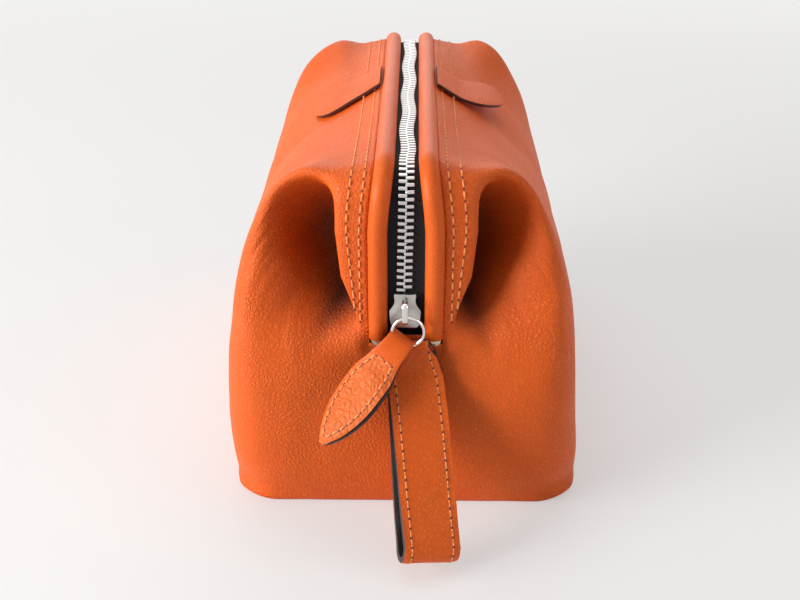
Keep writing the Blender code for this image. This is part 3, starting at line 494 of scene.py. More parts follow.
def thread(name, colour, shade):
    finish = Finish(name)
    twist = finish.bands("DIAGONAL", 160.0, 0.5)
    finish.set(Base_Color=finish.blend_colours(twist * 0.55, colour, shade), Roughness=0.62)
    finish.set(Normal=finish.bump(twist, 0.00006))
    return finish.material


def seen_directly(nodes):
    """1 for what the camera, a gloss or a clear surface sees, 0 for light on its way to the object."""
    rays = ("Is Camera Ray", "Is Glossy Ray", "Is Transmission Ray")
    return sum((nodes.node("LightPath", output=ray) for ray in rays), 0)


def backdrop(name, colour, shown, share):
    """The pale table. The camera and reflections see part of it as the even white that it fades into."""
    finish = Finish(name)
    darker = tuple(0.985 * part for part in colour)
    finish.set(Base_Color=finish.blend_colours(finish.noise(3, 2.0), colour, darker), Roughness=0.7)
    finish.shader.inputs["Specular IOR Level"].default_value = 0.1
    distance = finish.node("VectorMath", {"operation": "LENGTH"}, {0: finish.place()}, output="Value")
    share = share + (1 - share) * stepped(finish, distance, *FADE_RADII)
    white = finish.node("Emission", None, {"Color": shown, "Strength": 1.0})
    plain = Value(finish, finish.shader.outputs[0])
    mixed = finish.node("MixShader", None, {0: seen_directly(finish) * share, 1: plain, 2: white})
    finish.feed(finish.tree.nodes["Material Output"].inputs["Surface"], mixed)
    return finish.material


ORANGE = leather("orange_pebbled_leather")
# The body's leather, with painted shade in the hollows beside the flange
BODY_ORANGE = leather("orange_body_leather", folded=True)
SMOOTH_ORANGE = leather(
    "orange_smooth_leather", grain=900, grain_depth=0.00006, crease_depth=0.00008, rough=0.42,
)
TAB_ORANGE = leather(
    "orange_tab_leather", grain=330, grain_depth=0.00042, crease_depth=0.0002,
    base=(0.76, 0.17, 0.035), pale=(0.86, 0.27, 0.09),
)
STRAP_ORANGE = leather("orange_strap_leather", grain=560, grain_depth=0.00012, crease_depth=0.0004)
BLACK_EDGE = edge_paint("black_edge_paint")
BROWN_EDGE = edge_paint("dark_brown_edge", (0.055, 0.016, 0.010))
BLACK_LEATHER = black_backing("black_backing_leather")
LINING = woven("black_lining_cloth", (0.010, 0.010, 0.011), (0.035, 0.034, 0.036), 2600, 3600, 0.00008)
TAPE = woven("black_zip_tape", (0.006, 0.006, 0.007), (0.022, 0.022, 0.024), 4200, 5200, 0.0001)
BOARD = woven("stiffening_board", (0.20, 0.17, 0.13), (0.30, 0.26, 0.20), 1500, 1500, 0.00003)
BRIGHT_NICKEL = metal("bright_nickel", (0.74, 0.73, 0.71), 0.14)
SATIN_NICKEL = metal("satin_nickel", (0.56, 0.55, 0.53), 0.28)
TOOTH_NICKEL = metal("tooth_nickel", (0.62, 0.61, 0.60), 0.26)
DARK_STEEL = metal("dark_steel", (0.10, 0.095, 0.09), 0.35)
CREAM_BRASS = metal("cream_brass", (0.66, 0.54, 0.38), 0.34)
THREAD = thread("orange_thread", (0.92, 0.36, 0.12), (0.66, 0.17, 0.04))
# Painted shade: each needle hole is a flat dark disc in place of the shade inside the hole
NEEDLE_HOLE_SHADE = edge_paint("needle_hole_shade", (0.14, 0.020, 0.006))


# Mesh helpers

def smooth_step(value):
    value = min(max(value, 0.0), 1.0)
    return value * value * (3 - 2 * value)


def through(values, stop):
    """The smooth curve through rows of values that stand at 0, 1, 2 and so on, read at this stop."""
    values = np.asarray(values, float)
    last = len(values) - 1
    i = min(int(stop), last - 1)
    t = stop - i
    start_weight, end_weight = 2 * t**3 - 3 * t**2 + 1, 3 * t**2 - 2 * t**3
    before = values[i - 1] if i > 0 else 2 * values[0] - values[1]
    after = values[i + 2] if i + 2 <= last else 2 * values[last] - values[last - 1]
    start_slope, end_slope = (values[i + 1] - before) / 2, (after - values[i]) / 2
    bends = (t**3 - 2 * t**2 + t) * start_slope + (t**3 - t**2) * end_slope
    return start_weight * values[i] + end_weight * values[i + 1] + bends


def resample(points, count):
    """The same polyline with this many points at even distances."""
    points = np.asarray(points, float)
    steps = np.linalg.norm(np.diff(points, axis=0), axis=1)
    along = np.concatenate(([0], np.cumsum(steps)))
    wanted = np.linspace(0, along[-1], count)
    return np.stack([np.interp(wanted, along, points[:, k]) for k in range(3)], axis=1)


def add_piece(name, mesh, materials, body=None, replaced=()):
    obj = bpy.data.objects.new(name, mesh)
    bpy.context.scene.collection.objects.link(obj)
    for each in materials if isinstance(materials, (list, tuple)) else [materials]:
        mesh.materials.append(each)
    if body:
        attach(obj, body)
    if replaced:
        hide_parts(*replaced)
    return obj


def grid_mesh(name, rows, flip=False, closed=False):
    """A smooth mesh over a grid of points; closed joins each row's ends."""
    rows = np.asarray(rows, float)
    count, columns = rows.shape[:2]
    faces = []
    for i in range(count - 1):
        for j in range(columns if closed else columns - 1):
            k = (j + 1) % columns
            quad = (i * columns + j, i * columns + k, (i + 1) * columns + k, (i + 1) * columns + j)
            faces.append(quad[::-1] if flip else quad)
    mesh = bpy.data.meshes.new(name)
    mesh.from_pydata(rows.reshape(-1, 3).tolist(), [], faces)
    mesh.shade_smooth()
    return mesh


def thicken(obj, thickness, rim_slot=None, offset=-1.0):
    solidify = obj.modifiers.new("thickness", "SOLIDIFY")
    solidify.thickness = thickness
    solidify.offset = offset
    solidify.use_even_offset = True
    if rim_slot is not None:
        solidify.material_offset_rim = rim_slot


def soften(obj, width, segments=2, angle=50):
    bevel = obj.modifiers.new("soft edges", "BEVEL")
    bevel.width = width
    bevel.segments = segments
    bevel.limit_method = "ANGLE"
    bevel.angle_limit = math.radians(angle)


def from_bmesh(name, bm):
    mesh = bpy.data.meshes.new(name)
    bmesh.ops.recalc_face_normals(bm, faces=bm.faces)
    bm.to_mesh(mesh)
    bm.free()
    mesh.shade_smooth()
    return mesh


def slab(name, outline, rise):
    """A flat outline of points, made thick by a copy of it that lies this far away."""
    bm = bmesh.new()
    bm.faces.new([bm.verts.new(point) for point in outline])
    raised = bmesh.ops.extrude_face_region(bm, geom=bm.faces[:])
    moved = [item for item in raised["geom"] if isinstance(item, bmesh.types.BMVert)]
    bmesh.ops.translate(bm, verts=moved, vec=rise)
    return from_bmesh(name, bm)


def add_block(bm, size, place, **rounding):
    """A bar with rounded edges."""
    bmesh.ops.create_cube(bm, size=1, matrix=Matrix.Translation(place) @ Matrix.Diagonal((*size, 1)))
    bmesh.ops.bevel(bm, geom=bm.edges[:], affect="EDGES", **rounding)


def both_ways(shares):
    """Shares from -1 to 1, of which these are the right half."""
    return [-share for share in reversed(shares) if share] + list(shares)


def ring_round(centre, across, up, radius_across, radius_up, sides):
    """Points round a centre, in the plane of two directions."""
    turns = [2 * math.pi * i / sides for i in range(sides)]
    return [
        centre + radius_across * math.cos(turn) * across + radius_up * math.sin(turn) * up for turn in turns
    ]


def tube_rows(path, radius_across, radius_up, across, sides=12):
    """Rings round a path. across is the direction of the wide radius."""
    path = [Vector(point) for point in path]
    across = Vector(across).normalized()
    rows = []
    for i, point in enumerate(path):
        ahead = (path[min(i + 1, len(path) - 1)] - path[max(i - 1, 0)]).normalized()
        up = ahead.cross(across).normalized()
        rows.append(ring_round(point, across, up, radius_across, radius_up, sides))
    return rows


# Frame path

CHANNEL_END = HINGE_HEIGHT + EYE_RADIUS + CLEARANCE
LEG_LENGTH = RAIL_HEIGHT - RAIL_CORNER - CHANNEL_END
ARC_LENGTH = RAIL_CORNER * math.pi / 2
TOP_LENGTH = RAIL_REACH - RAIL_CORNER
HALF_PATH = LEG_LENGTH + ARC_LENGTH + TOP_LENGTH
ROLL_RADIUS = WIRE_RADIUS + CLEARANCE + CHANNEL_LEATHER


def rail(distance):
    """(y, z) and the outward normal on the frame's path, this far from its near end."""
    if distance > HALF_PATH:
        y, z, normal_y, normal_z = rail(2 * HALF_PATH - distance)
        return -y, z, -normal_y, normal_z
    if distance <= LEG_LENGTH:
        return -RAIL_REACH, CHANNEL_END + distance, -1.0, 0.0
    if distance <= LEG_LENGTH + ARC_LENGTH:
        angle = (distance - LEG_LENGTH) / RAIL_CORNER
        normal_y, normal_z = -math.cos(angle), math.sin(angle)
        centre_y, centre_z = -RAIL_REACH + RAIL_CORNER, RAIL_HEIGHT - RAIL_CORNER
        return centre_y + RAIL_CORNER * normal_y, centre_z + RAIL_CORNER * normal_z, normal_y, normal_z
    return -RAIL_REACH + RAIL_CORNER + distance - LEG_LENGTH - ARC_LENGTH, RAIL_HEIGHT, 0.0, 1.0


def half_spread(distance):
    along = min(distance, 2 * HALF_PATH - distance)
    start = RAIL_HEIGHT - NARROW_DROP - CHANNEL_END
    end = LEG_LENGTH + ARC_LENGTH
    share = smooth_step((along - start) / (end - start))
    return HINGE_HALF_SPREAD + (TOP_HALF_SPREAD - HINGE_HALF_SPREAD) * share


def flange_width(distance):
    share = min(distance, 2 * HALF_PATH - distance) / HALF_PATH
    return FLANGE_WIDTH * float(np.interp(share, FLANGE_PLACE_SHARES, FLANGE_WIDTH_SHARES))


def flange_edge(distance):
    return half_spread(distance) + ROLL_RADIUS + flange_width(distance)


def on_rail(distance, across, height):
    y, z, normal_y, normal_z = rail(distance)
    return Vector((across, y + normal_y * height, z + normal_z * height))


def outward(distance):
    _, _, normal_y, normal_z = rail(distance)
    return Vector((0, normal_y, normal_z))


def flange_fall(distance, across):
    """How far the flange has sloped down here on its way out from the roll."""
    share = min(distance, 2 * HALF_PATH - distance) / HALF_PATH
    slope = float(np.interp(share, FLANGE_PLACE_SHARES, FLANGE_SLOPE_SHARES))
    return slope * max(across - half_spread(distance) - ROLL_RADIUS, 0)


def flange_height(distance, across):
    """The flange's outer face, which climbs from its edge to the crease beside the roll."""
    share = (flange_edge(distance) - across) / max(flange_width(distance), CLEARANCE)
    rise = (CREASE_TOP - FLANGE_TOP) * min(max(share, 0), 1) ** 1.5
    return FLANGE_TOP + rise - flange_fall(distance, across)


def rail_distances(leg_steps=22, arc_steps=14, top_steps=24):
    leg = [LEG_LENGTH * i / leg_steps for i in range(leg_steps)]
    arc = [LEG_LENGTH + ARC_LENGTH * i / arc_steps for i in range(arc_steps)]
    top = [LEG_LENGTH + ARC_LENGTH + TOP_LENGTH * i / top_steps for i in range(top_steps)]
    half = leg + arc + top
    return half + [HALF_PATH] + [2 * HALF_PATH - distance for distance in reversed(half)]


# Body leather

def hem_point(share, out=0.0):
    half_width = BASE_HALF_WIDTH + CLEARANCE + out
    half_length = BASE_HALF_LENGTH + CLEARANCE + out
    radius = BASE_CORNER + CLEARANCE + out
    end = half_width - radius
    arc = radius * math.pi / 2
    distance = share * (end + arc + half_length - radius)
    if distance < end:
        return distance, -half_length, HEM_LIFT
    if distance < end + arc:
        angle = (distance - end) / radius
        return end + radius * math.sin(angle), -half_length + radius - radius * math.cos(angle), HEM_LIFT
    return half_width, -half_length + radius + distance - end - arc, HEM_LIFT


def body_height(share):
    if share <= HINGE_SHARE:
        return HINGE_HEIGHT * share / HINGE_SHARE
    return HINGE_HEIGHT + (RAIL_HEIGHT - HINGE_HEIGHT) * (share - HINGE_SHARE) / (1 - HINGE_SHARE)


def mouth_distance(line):
    return max(float(through(MOUTH_SHARES, line)) * HALF_PATH, 0)


def mouth_point(line):
    """The leather's upper end on this line: the flange's edge, or the yoke under the hinge.

    Beside the roll the yoke first climbs, then runs out to the flange's edge.
    """
    if line < FIRST_FLANGE_LINE:
        yoke = -RAIL_REACH - CLEARANCE
        seam = (0, yoke, body_height(YOKE_SEAM_SHARE))
        side = (YOKE_SIDE_SHARES[0] * HALF_WIDTH, yoke, body_height(YOKE_SIDE_SHARES[1]))
        if line < 1:
            return through((seam, side), line)
        edge, share = on_rail(0, flange_edge(0), FLANGE_TOP), line - 1
        across = side[0] + (edge[0] - side[0]) * share ** 3
        return across, edge[1], edge[2] + (side[2] - edge[2]) * (1 - share) ** 3
    distance = mouth_distance(line)
    edge = flange_edge(distance)
    return on_rail(distance, edge, flange_height(distance, edge))


def body_section(line):
    """Points up the near right body on this line, evenly spaced from the hem to the mouth."""
    shares = through(WALL_LINE_SHARES, line)
    inner = [(x * HALF_WIDTH, -y * HALF_LENGTH, body_height(z)) for x, y, z in shares]
    hem = through(HEM_SHARES, line)
    rows = [hem_point(hem), hem_point(hem, HEM_FLAT), *inner, tuple(mouth_point(line))]
    stops = np.linspace(0, len(rows) - 1, SECTION_STOPS)
    return tucked(resample([through(rows, stop) for stop in stops], SECTION_POINTS), line)


def hollow_share(line):
    """0 away from the hollow beside the flange, 1 along it."""
    return smooth_step((line - 2.05) / 0.8) * smooth_step((6.2 - line) / 1.6)


def tucked(section, line):
    """The leather folds in behind the flange's edge before it turns out to the shoulder."""
    share = hollow_share(line)
    if not share:
        return section
    _, _, normal_y, normal_z = rail(mouth_distance(line))
    for i, point in enumerate(section):
        climb = i / (len(section) - 1)
        pull = share * smooth_step((climb - 0.68) / 0.22) * smooth_step((1 - climb) / 0.05)
        point += pull * np.array((-TUCK_IN, -TUCK_BACK * normal_y, -TUCK_BACK * normal_z))
    return section


def flange_section(line):
    """Points across the flange from its edge to the crease."""
    distance = mouth_distance(line)
    edge, crease = flange_edge(distance), half_spread(distance) + ROLL_RADIUS
    points = []
    for i in range(1, FLANGE_POINTS + 1):
        across = edge + (crease - edge) * i / FLANGE_POINTS
        points.append(on_rail(distance, across, flange_height(distance, across)))
    points.append(on_rail(distance, crease - CREASE_DEPTH / 4, -CREASE_DEPTH))
    return points


def body_lines():
    lines = []
    for i, steps in enumerate(LINE_STEPS):
        lines += [i + step / steps for step in range(steps)]
    return lines + [len(LINE_STEPS)]


def ease_bend(section, edge):
    """Rounds the section where the body turns into the flange."""
    section = np.asarray(section, float)
    low, high = edge - EASE_REACH, min(edge + EASE_REACH, len(section) - 2)
    for _ in range(EASE_ROUNDS):
        eased = section.copy()
        for i in range(low, high):
            eased[i] = (section[i - 1] + 2 * section[i] + section[i + 1]) / 4
        section = eased
    return section


def frame_share(line, climb):
    """How much of the frame's turn the leather takes, this share of the way up its section."""
    on_line = smooth_step((line - YOKE_STILL) / (FIRST_FLANGE_LINE - YOKE_STILL))
    return on_line * smooth_step((climb - 0.30) / 0.68)


def quarter_sections():
    """(line, points) of the body, and of the flange where there is one, on the near right quarter."""
    sections = []
    for line in body_lines():
        section = body_section(line)
        if line >= FIRST_FLANGE_LINE:
            section = ease_bend(np.vstack([section, flange_section(line)]), SECTION_POINTS - 1)
        sections.append((line, section))
    return sections


def crumple_share(line, climb):
    """Where the leather is drawn into small wrinkles that run down into the hollow; their lines also get
    painted shade.
    """
    along = smooth_step((line - 2.0) / 0.9) * smooth_step((7.0 - line) / 1.4)
    return along * smooth_step((climb - 0.53) / 0.14) * smooth_step((0.985 - climb) / 0.05)


def fold_painted_shade_share(line, climb):
    """How much painted shade the hollow's core gets here: 0 outside it, 1 in the darkest core."""
    along = smooth_step((line - 2.0) / 0.7) * smooth_step((5.6 - line) / 1.6)
    return along * smooth_step((climb - 0.71) / 0.15) * smooth_step((0.992 - climb) / 0.02)


def soft_hand(points, normals, places, side):
    """Small dents, swells and wrinkles that no cut piece of leather is without."""
    moved = []
    for point, normal, (line, climb) in zip(points, normals, places):
        place = Vector(point) + Vector((0.3 * side, 0, 0))
        swell = noise.noise(place * 24) * 0.0011 + noise.noise(place * 70) * 0.0003
        near_floor = smooth_step(point[2] / 0.02)
        near_frame = smooth_step((abs(point[0]) - 0.026) / 0.02)
        wrinkle = noise.noise(Vector((line * 4.2, climb * 9, side * 5.0 + point[1] * 20)))
        dip = SEAM_DIP * math.exp(-(point[0] / SEAM_REACH) ** 2)
        push = swell * near_floor * near_frame + WRINKLE_DEPTH * wrinkle * crumple_share(line, climb) - dip
        lean = BODY_LEAN * smooth_step(point[2] / 0.03) * smooth_step((1 - climb) / 0.2)
        moved.append(np.asarray(point) + np.asarray(normal) * push + np.array((lean, 0, 0)))
    return np.array(moved)


def grow_normals(points, faces):
    mesh = bpy.data.meshes.new("scratch")
    mesh.from_pydata(points.tolist(), [], faces)
    normals = np.zeros(len(points) * 3)
    mesh.vertices.foreach_get("normal", normals)
    bpy.data.meshes.remove(mesh)
    return normals.reshape(-1, 3)


def rear_lift(line, x, z):
    """The shoulders at the far end stand a little fuller than those at the strap's end."""
    from_middle = smooth_step((len(LINE_STEPS) - line) / 2.5) * smooth_step((line - 4) / 1.5)
    return REAR_RISE * from_middle * smooth_step((z - 0.085) / 0.045) * smooth_step((x - 0.023) / 0.012)


def build_skin(side, sections, inset, first):
    """Points, faces and (line, climb) places of one side's skin, from the near seam to the rear seam."""
    columns = [(*section, False) for section in sections]
    columns += [(*section, True) for section in reversed(sections[:-1])]
    points, places, index = [], [], []
    for line, section, rear in columns:
        ids = []
        for i, (x, y, z) in enumerate(section[first:], first):
            ids.append(len(points))
            lift = rear_lift(line, x, z) if rear else 0
            points.append((side * (x + CLEARANCE / 3), -y if rear else y, z + lift))
            places.append((line, min(i / (SECTION_POINTS - 1), 1)))
        index.append(ids)
    faces = []
    for left, right in zip(index, index[1:]):
        for i in range(min(len(left), len(right)) - 1):
            quad = (left[i], right[i], right[i + 1], left[i + 1])
            faces.append(quad if side > 0 else quad[::-1])
    points = np.array(points)
    points = soft_hand(points, grow_normals(points, faces), places, side)
    if inset:
        points = points - grow_normals(points, faces) * inset
        faces = [face[::-1] for face in faces]
    return points, faces, places


def note_places(mesh, places):
    """Tells the leather's finish where each point lies on the body's lines."""
    notes = {
        "line": [line for line, _ in places],
        "climb": [climb for _, climb in places],
        # fold is the share of painted shade that the hollow's core gets
        "fold": [fold_painted_shade_share(*place) for place in places],
        "crumple": [crumple_share(*place) for place in places],
    }
    for name, values in notes.items():
        mesh.attributes.new(name, "FLOAT", "POINT").data.foreach_set("value", values)


def hang_between(obj, places):
    """Bakes a skin's placement into its points; the shares of the frame's turn at its places are worked out
    but not used.
    """
    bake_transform(obj)
    shares = [frame_share(*place) for place in places]


def make_body():
    sections = quarter_sections()
    for name, side in SIDES:
        for part, node, finish, inset, first in (
            ("leather", "wall", BODY_ORANGE, 0.0, 0),
            ("lining", "lining", LINING, LINING_INSET, LINING_START),
        ):
            points, faces, places = build_skin(side, sections, inset, first)
            mesh = bpy.data.meshes.new(f"{name}_body_{part}")
            mesh.from_pydata(points.tolist(), [], faces)
            mesh.shade_smooth()
            if part == "leather":
                note_places(mesh, places)
            skin = add_piece(f"{name}_body_{part}", mesh, finish)
            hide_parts(f"{name}_{node}")
            hang_between(skin, places)


def make_rolls():
    distances = rail_distances()
    distances[0] = -ROLL_END_DROP
    distances[-1] = 2 * HALF_PATH + ROLL_END_DROP
    for name, side in SIDES:
        rows = []
        for distance in distances:
            at = min(max(distance, 0), 2 * HALF_PATH)
            over = max(-distance, distance - 2 * HALF_PATH, 0)
            middle = half_spread(at)
            swell = 1 + ROLL_SWELL * noise.noise(Vector((side * 3.0, distance * 45, 0)))
            row = []
            for angle in ROLL_ANGLES:
                turn = math.radians(angle)
                reach = ROLL_RADIUS * (swell if 0 < angle < 180 else 1)
                point = on_rail(at, side * (middle + reach * math.cos(turn)), reach * math.sin(turn))
                row.append(point - Vector((0, 0, over)))
            rows.append(row)
        mesh = grid_mesh(f"{name}_roll", rows, flip=side > 0)
        roll = add_piece(f"{name}_roll", mesh, [SMOOTH_ORANGE, BROWN_EDGE], f"{name}_frame",
                         [f"{name}_frame_channel"])
        thicken(roll, CHANNEL_LEATHER)


# Stitches

def stitch_row(name, path, pitch, body, thread_radius=THREAD_RADIUS):
    """Threads that dive into needle holes, drawn as dark discs of painted shade, along a path of (point,
    outward normal) pairs.
    """
    points = np.array([tuple(point) for point, _ in path])
    normals = np.array([tuple(normal) for _, normal in path])
    steps = np.linalg.norm(np.diff(points, axis=0), axis=1)
    along = np.concatenate(([0], np.cumsum(steps)))
    count = max(int(round(along[-1] / pitch)), 1)
    pitch = along[-1] / count
    length = pitch * (1 - STITCH_GAP_SHARE)
    hole_size = (thread_radius * 1.5, thread_radius * 1.5, thread_radius * 0.3, 1)

    def read(distance):
        place = Vector([np.interp(distance, along, points[:, k]) for k in range(3)])
        normal = Vector([np.interp(distance, along, normals[:, k]) for k in range(3)]).normalized()
        return place, normal

    threads, holes = bmesh.new(), bmesh.new()
    for i in range(count):
        start = (i + STITCH_GAP_SHARE / 2) * pitch
        ahead = (read(start + length)[0] - read(start)[0]).normalized()
        loops = []
        for k in range(THREAD_RINGS):
            share = k / (THREAD_RINGS - 1)
            place, normal = read(start + length * share)
            across = ahead.cross(normal).normalized()
            rise = math.sin(math.pi * share)
            centre = place + normal * thread_radius * (1.5 * rise ** 0.6 - 0.75)
            size = thread_radius * (0.55 + 0.45 * rise ** 0.5)
            ring = ring_round(centre, across, normal, size, size, THREAD_SIDES)
            loops.append([threads.verts.new(point) for point in ring])
        for first, second in zip(loops, loops[1:]):
            for j in range(THREAD_SIDES):
                k = (j + 1) % THREAD_SIDES
                threads.faces.new((first[j], first[k], second[k], second[j]))
        threads.faces.new(loops[0])
        threads.faces.new(loops[-1][::-1])
        place, normal = read(i * pitch)
        turn = normal.to_track_quat("Z", "Y").to_matrix().to_4x4()
        # The hole is a flattened dark disc at the surface: painted shade
        spot = Matrix.Translation(place - normal * thread_radius * 0.1) @ turn @ Matrix.Diagonal(hole_size)
        bmesh.ops.create_uvsphere(holes, u_segments=8, v_segments=5, radius=1, matrix=spot)
    for part, bm, finish in (("thread", threads, THREAD), ("holes", holes, NEEDLE_HOLE_SHADE)):
        add_piece(f"{name}_{part}", from_bmesh(f"{name}_{part}", bm), finish, body)


def stitch_offset(row, distance):
    """The outer row draws nearer to the roll on its way down the leg."""
    if row == "inner":
        return INNER_STITCH
    low = min(distance, 2 * HALF_PATH - distance)
    return LOW_OUTER_STITCH + (OUTER_STITCH - LOW_OUTER_STITCH) * smooth_step(low / LEG_LENGTH)


def finger_tab_cover(distance):
    """1 where the finger tab lies over the flange, 0 elsewhere."""
    inside = FINGER_TAB_HALF_WIDTH + THREAD_RADIUS - abs(rail(distance)[0] - FINGER_TAB_CENTRE)
    return smooth_step(inside / (2 * THREAD_RADIUS))


def make_flange_stitches():
    steps = 480
    for name, side in SIDES:
        for row, margin in (("inner", INNER_ROW_MARGIN), ("outer", OUTER_ROW_MARGIN)):
            path = []
            length = 2 * (HALF_PATH - margin)
            for i in range(steps + 1):
                distance = margin + length * i / steps
                across = half_spread(distance) + ROLL_RADIUS + stitch_offset(row, distance)
                height = flange_height(distance, across)
                height += finger_tab_cover(distance) * (FINGER_TAB_LEATHER + FINGER_TAB_GAP)
                path.append((on_rail(distance, side * across, height), outward(distance)))
            stitch_row(f"{name}_flange_{row}", path, STITCH_PITCH, f"{name}_frame")


# Zip

def chain_shift(distance):
    """The closed chain wanders a little between the two frames."""
    start = LEG_LENGTH + ARC_LENGTH
    end = 2 * HALF_PATH - start
    near = CHAIN_NEAR_SHIFT * (1 - smooth_step(distance / (start * 0.9)))
    wave = CHAIN_WAVE * math.sin((distance - start) * 2 * math.pi / CHAIN_WAVE_LENGTH)
    wave *= smooth_step((distance - start) / CHAIN_WAVE_EASE)
    return near + wave * smooth_step((end - distance) / CHAIN_WAVE_EASE)


def tooth_mesh():
    """One tooth: a bar with rounded edges."""
    bm = bmesh.new()
    add_block(bm, TOOTH_SIZE, (0, 0, 0), offset=TOOTH_ROUNDING, segments=2, profile=0.7)
    mesh = bpy.data.meshes.new("tooth")
    bm.to_mesh(mesh)
    bm.free()
    return mesh


def make_teeth():
    start = SLIDER_LOW + SLIDER_LENGTH - CHANNEL_END + CLEARANCE
    end = 2 * HALF_PATH - STOP_LENGTH - 2 * CLEARANCE
    tooth = tooth_mesh()
    across = Vector((1, 0, 0))
    for name, side in SIDES:
        bm = bmesh.new()
        first = start + (TOOTH_PITCH / 2 if side > 0 else 0) + TOOTH_PITCH / 4
        tilt = Matrix.Rotation(side * math.radians(TOOTH_TILT), 4, "Z")
        for i in range(int((end - first) / TOOTH_PITCH) + 1):
            distance = first + i * TOOTH_PITCH
            normal = outward(distance)
            middle = side * (TOOTH_SIZE[0] / 2 - TOOTH_OVERLAP) + chain_shift(distance)
            place = on_rail(distance, middle, -TAPE_DEPTH)
            turn = Matrix((across, normal.cross(across), normal)).transposed().to_4x4()
            before = len(bm.verts)
            bm.from_mesh(tooth)
            bm.verts.ensure_lookup_table()
            bmesh.ops.transform(bm, matrix=Matrix.Translation(place) @ turn @ tilt, verts=bm.verts[before:])
        mesh = bpy.data.meshes.new(f"{name}_teeth")
        bm.to_mesh(mesh)
        bm.free()
        mesh.shade_smooth()
        add_piece(f"{name}_teeth", mesh, TOOTH_NICKEL, f"{name}_frame", [f"{name}_zip_teeth"])


def make_tapes():
    for name, side in SIDES:
        rows = []
        for distance in rail_distances():
            outer = half_spread(distance) - ROLL_RADIUS * 0.35
            inner = TOOTH_OVERLAP + TAPE_THICKNESS
            row = []
            for share in TAPE_ACROSS:
                across = side * (outer + (inner - outer) * share) + chain_shift(distance) * share
                row.append(on_rail(distance, across, -TAPE_DEPTH - TAPE_SAG * math.sin(math.pi * share)))
            rows.append(row)
        mesh = grid_mesh(f"{name}_tape", rows, flip=side > 0)
        tape = add_piece(f"{name}_tape", mesh, TAPE, f"{name}_frame", [f"{name}_zip_tape"])
        thicken(tape, TAPE_THICKNESS, offset=0.0)


def make_end_stops():
    width = CHAIN_HALF_WIDTH - CLEARANCE
    for name, side in SIDES:
        bm = bmesh.new()
        middle = side * (CHAIN_HALF_WIDTH - width / 2)
        place = on_rail(2 * HALF_PATH - STOP_LENGTH / 2, middle, -TAPE_DEPTH)
        size = (width, TOOTH_SIZE[2], STOP_LENGTH)
        add_block(bm, size, place, offset=STOP_ROUNDING, segments=3, profile=0.6)
        mesh = from_bmesh(f"{name}_stop", bm)
        add_piece(f"{name}_stop", mesh, TOOTH_NICKEL, f"{name}_frame", [f"{name}_zip_end_stop"])


# Slider, crown and ring

TAPE_PLANE = -RAIL_REACH + TAPE_DEPTH
PLATE_FRONT = TAPE_PLANE - SLIDER_CAVITY / 2 - SLIDER_PLATE
CROWN_INSIDE = PLATE_FRONT - 2 * RING_WIRE_RADIUS - CROWN_ROOM
RING_PLANE = CROWN_INSIDE + RING_WIRE_RADIUS + CLEARANCE
CROWN_LOW = SLIDER_LOW + SLIDER_LENGTH * 0.3
RING_TOP = CROWN_LOW + 2 * CROWN_STRIP + RING_WIRE_RADIUS
SLIDER_SHIFT = -0.0004
SLIDER_OUTLINE_SHARES = (
    (0.0, 0.985), (0.40, 0.985), (0.66, 1.0), (0.70, 0.985), (0.69, 0.90), (0.66, 0.80), (0.70, 0.70),
    (0.84, 0.60), (0.985, 0.52), (1.0, 0.48), (0.985, 0.36), (0.95, 0.20), (0.86, 0.05), (0.74, 0.0),
    (0.0, 0.0),
)


def make_slider():
    inner = SLIDER_CAVITY / 2
    right = [(x * SLIDER_HALF_WIDTH, SLIDER_LOW + z * SLIDER_LENGTH) for x, z in SLIDER_OUTLINE_SHARES]
    outline = right + [(-x, z) for x, z in reversed(right[1:-1])]
    for name, low, replaced in (
        ("front", PLATE_FRONT, ["slider_body"]), ("back", TAPE_PLANE + inner, []),
    ):
        points = [(x + SLIDER_SHIFT, low, z) for x, z in outline]
        mesh = slab(f"slider_{name}_plate", points, (0, SLIDER_PLATE, 0))
        piece = add_piece(f"slider_{name}_plate", mesh, SATIN_NICKEL, "slider", replaced)
        soften(piece, SLIDER_ROUNDING, 3, 30)
        mesh.set_sharp_from_angle(angle=math.radians(SHARP_ANGLE))
    size = (LIP_WIDTH, inner - LIP_GAP / 2, SLIDER_LENGTH * LIP_SHARE)
    for name, side in SIDES:
        for part, reach in (("front", -1), ("back", 1)):
            bm = bmesh.new()
            edge = SLIDER_SHIFT + side * (SLIDER_HALF_WIDTH - LIP_WIDTH)
            middle = TAPE_PLANE + reach * (inner + LIP_GAP) / 2
            place = (edge, middle, SLIDER_LOW + SLIDER_LENGTH * LIP_PLACE_SHARE)
            add_block(bm, size, place, offset=LIP_ROUNDING, segments=2)
            label = f"slider_{name}_{part}_lip"
            add_piece(label, from_bmesh(label, bm), SATIN_NICKEL, "slider")
    bm = bmesh.new()
    place = (SLIDER_SHIFT, TAPE_PLANE, SLIDER_LOW + SLIDER_LENGTH * POST_PLACE_SHARE)
    lay = Matrix.Translation(place) @ Matrix.Rotation(math.pi / 2, 4, "X")
    radii = {"radius1": POST_RADIUS, "radius2": POST_RADIUS}
    bmesh.ops.create_cone(bm, cap_ends=True, segments=20, depth=2 * inner, matrix=lay, **radii)
    add_piece("slider_post", from_bmesh("slider_post", bm), SATIN_NICKEL, "slider")


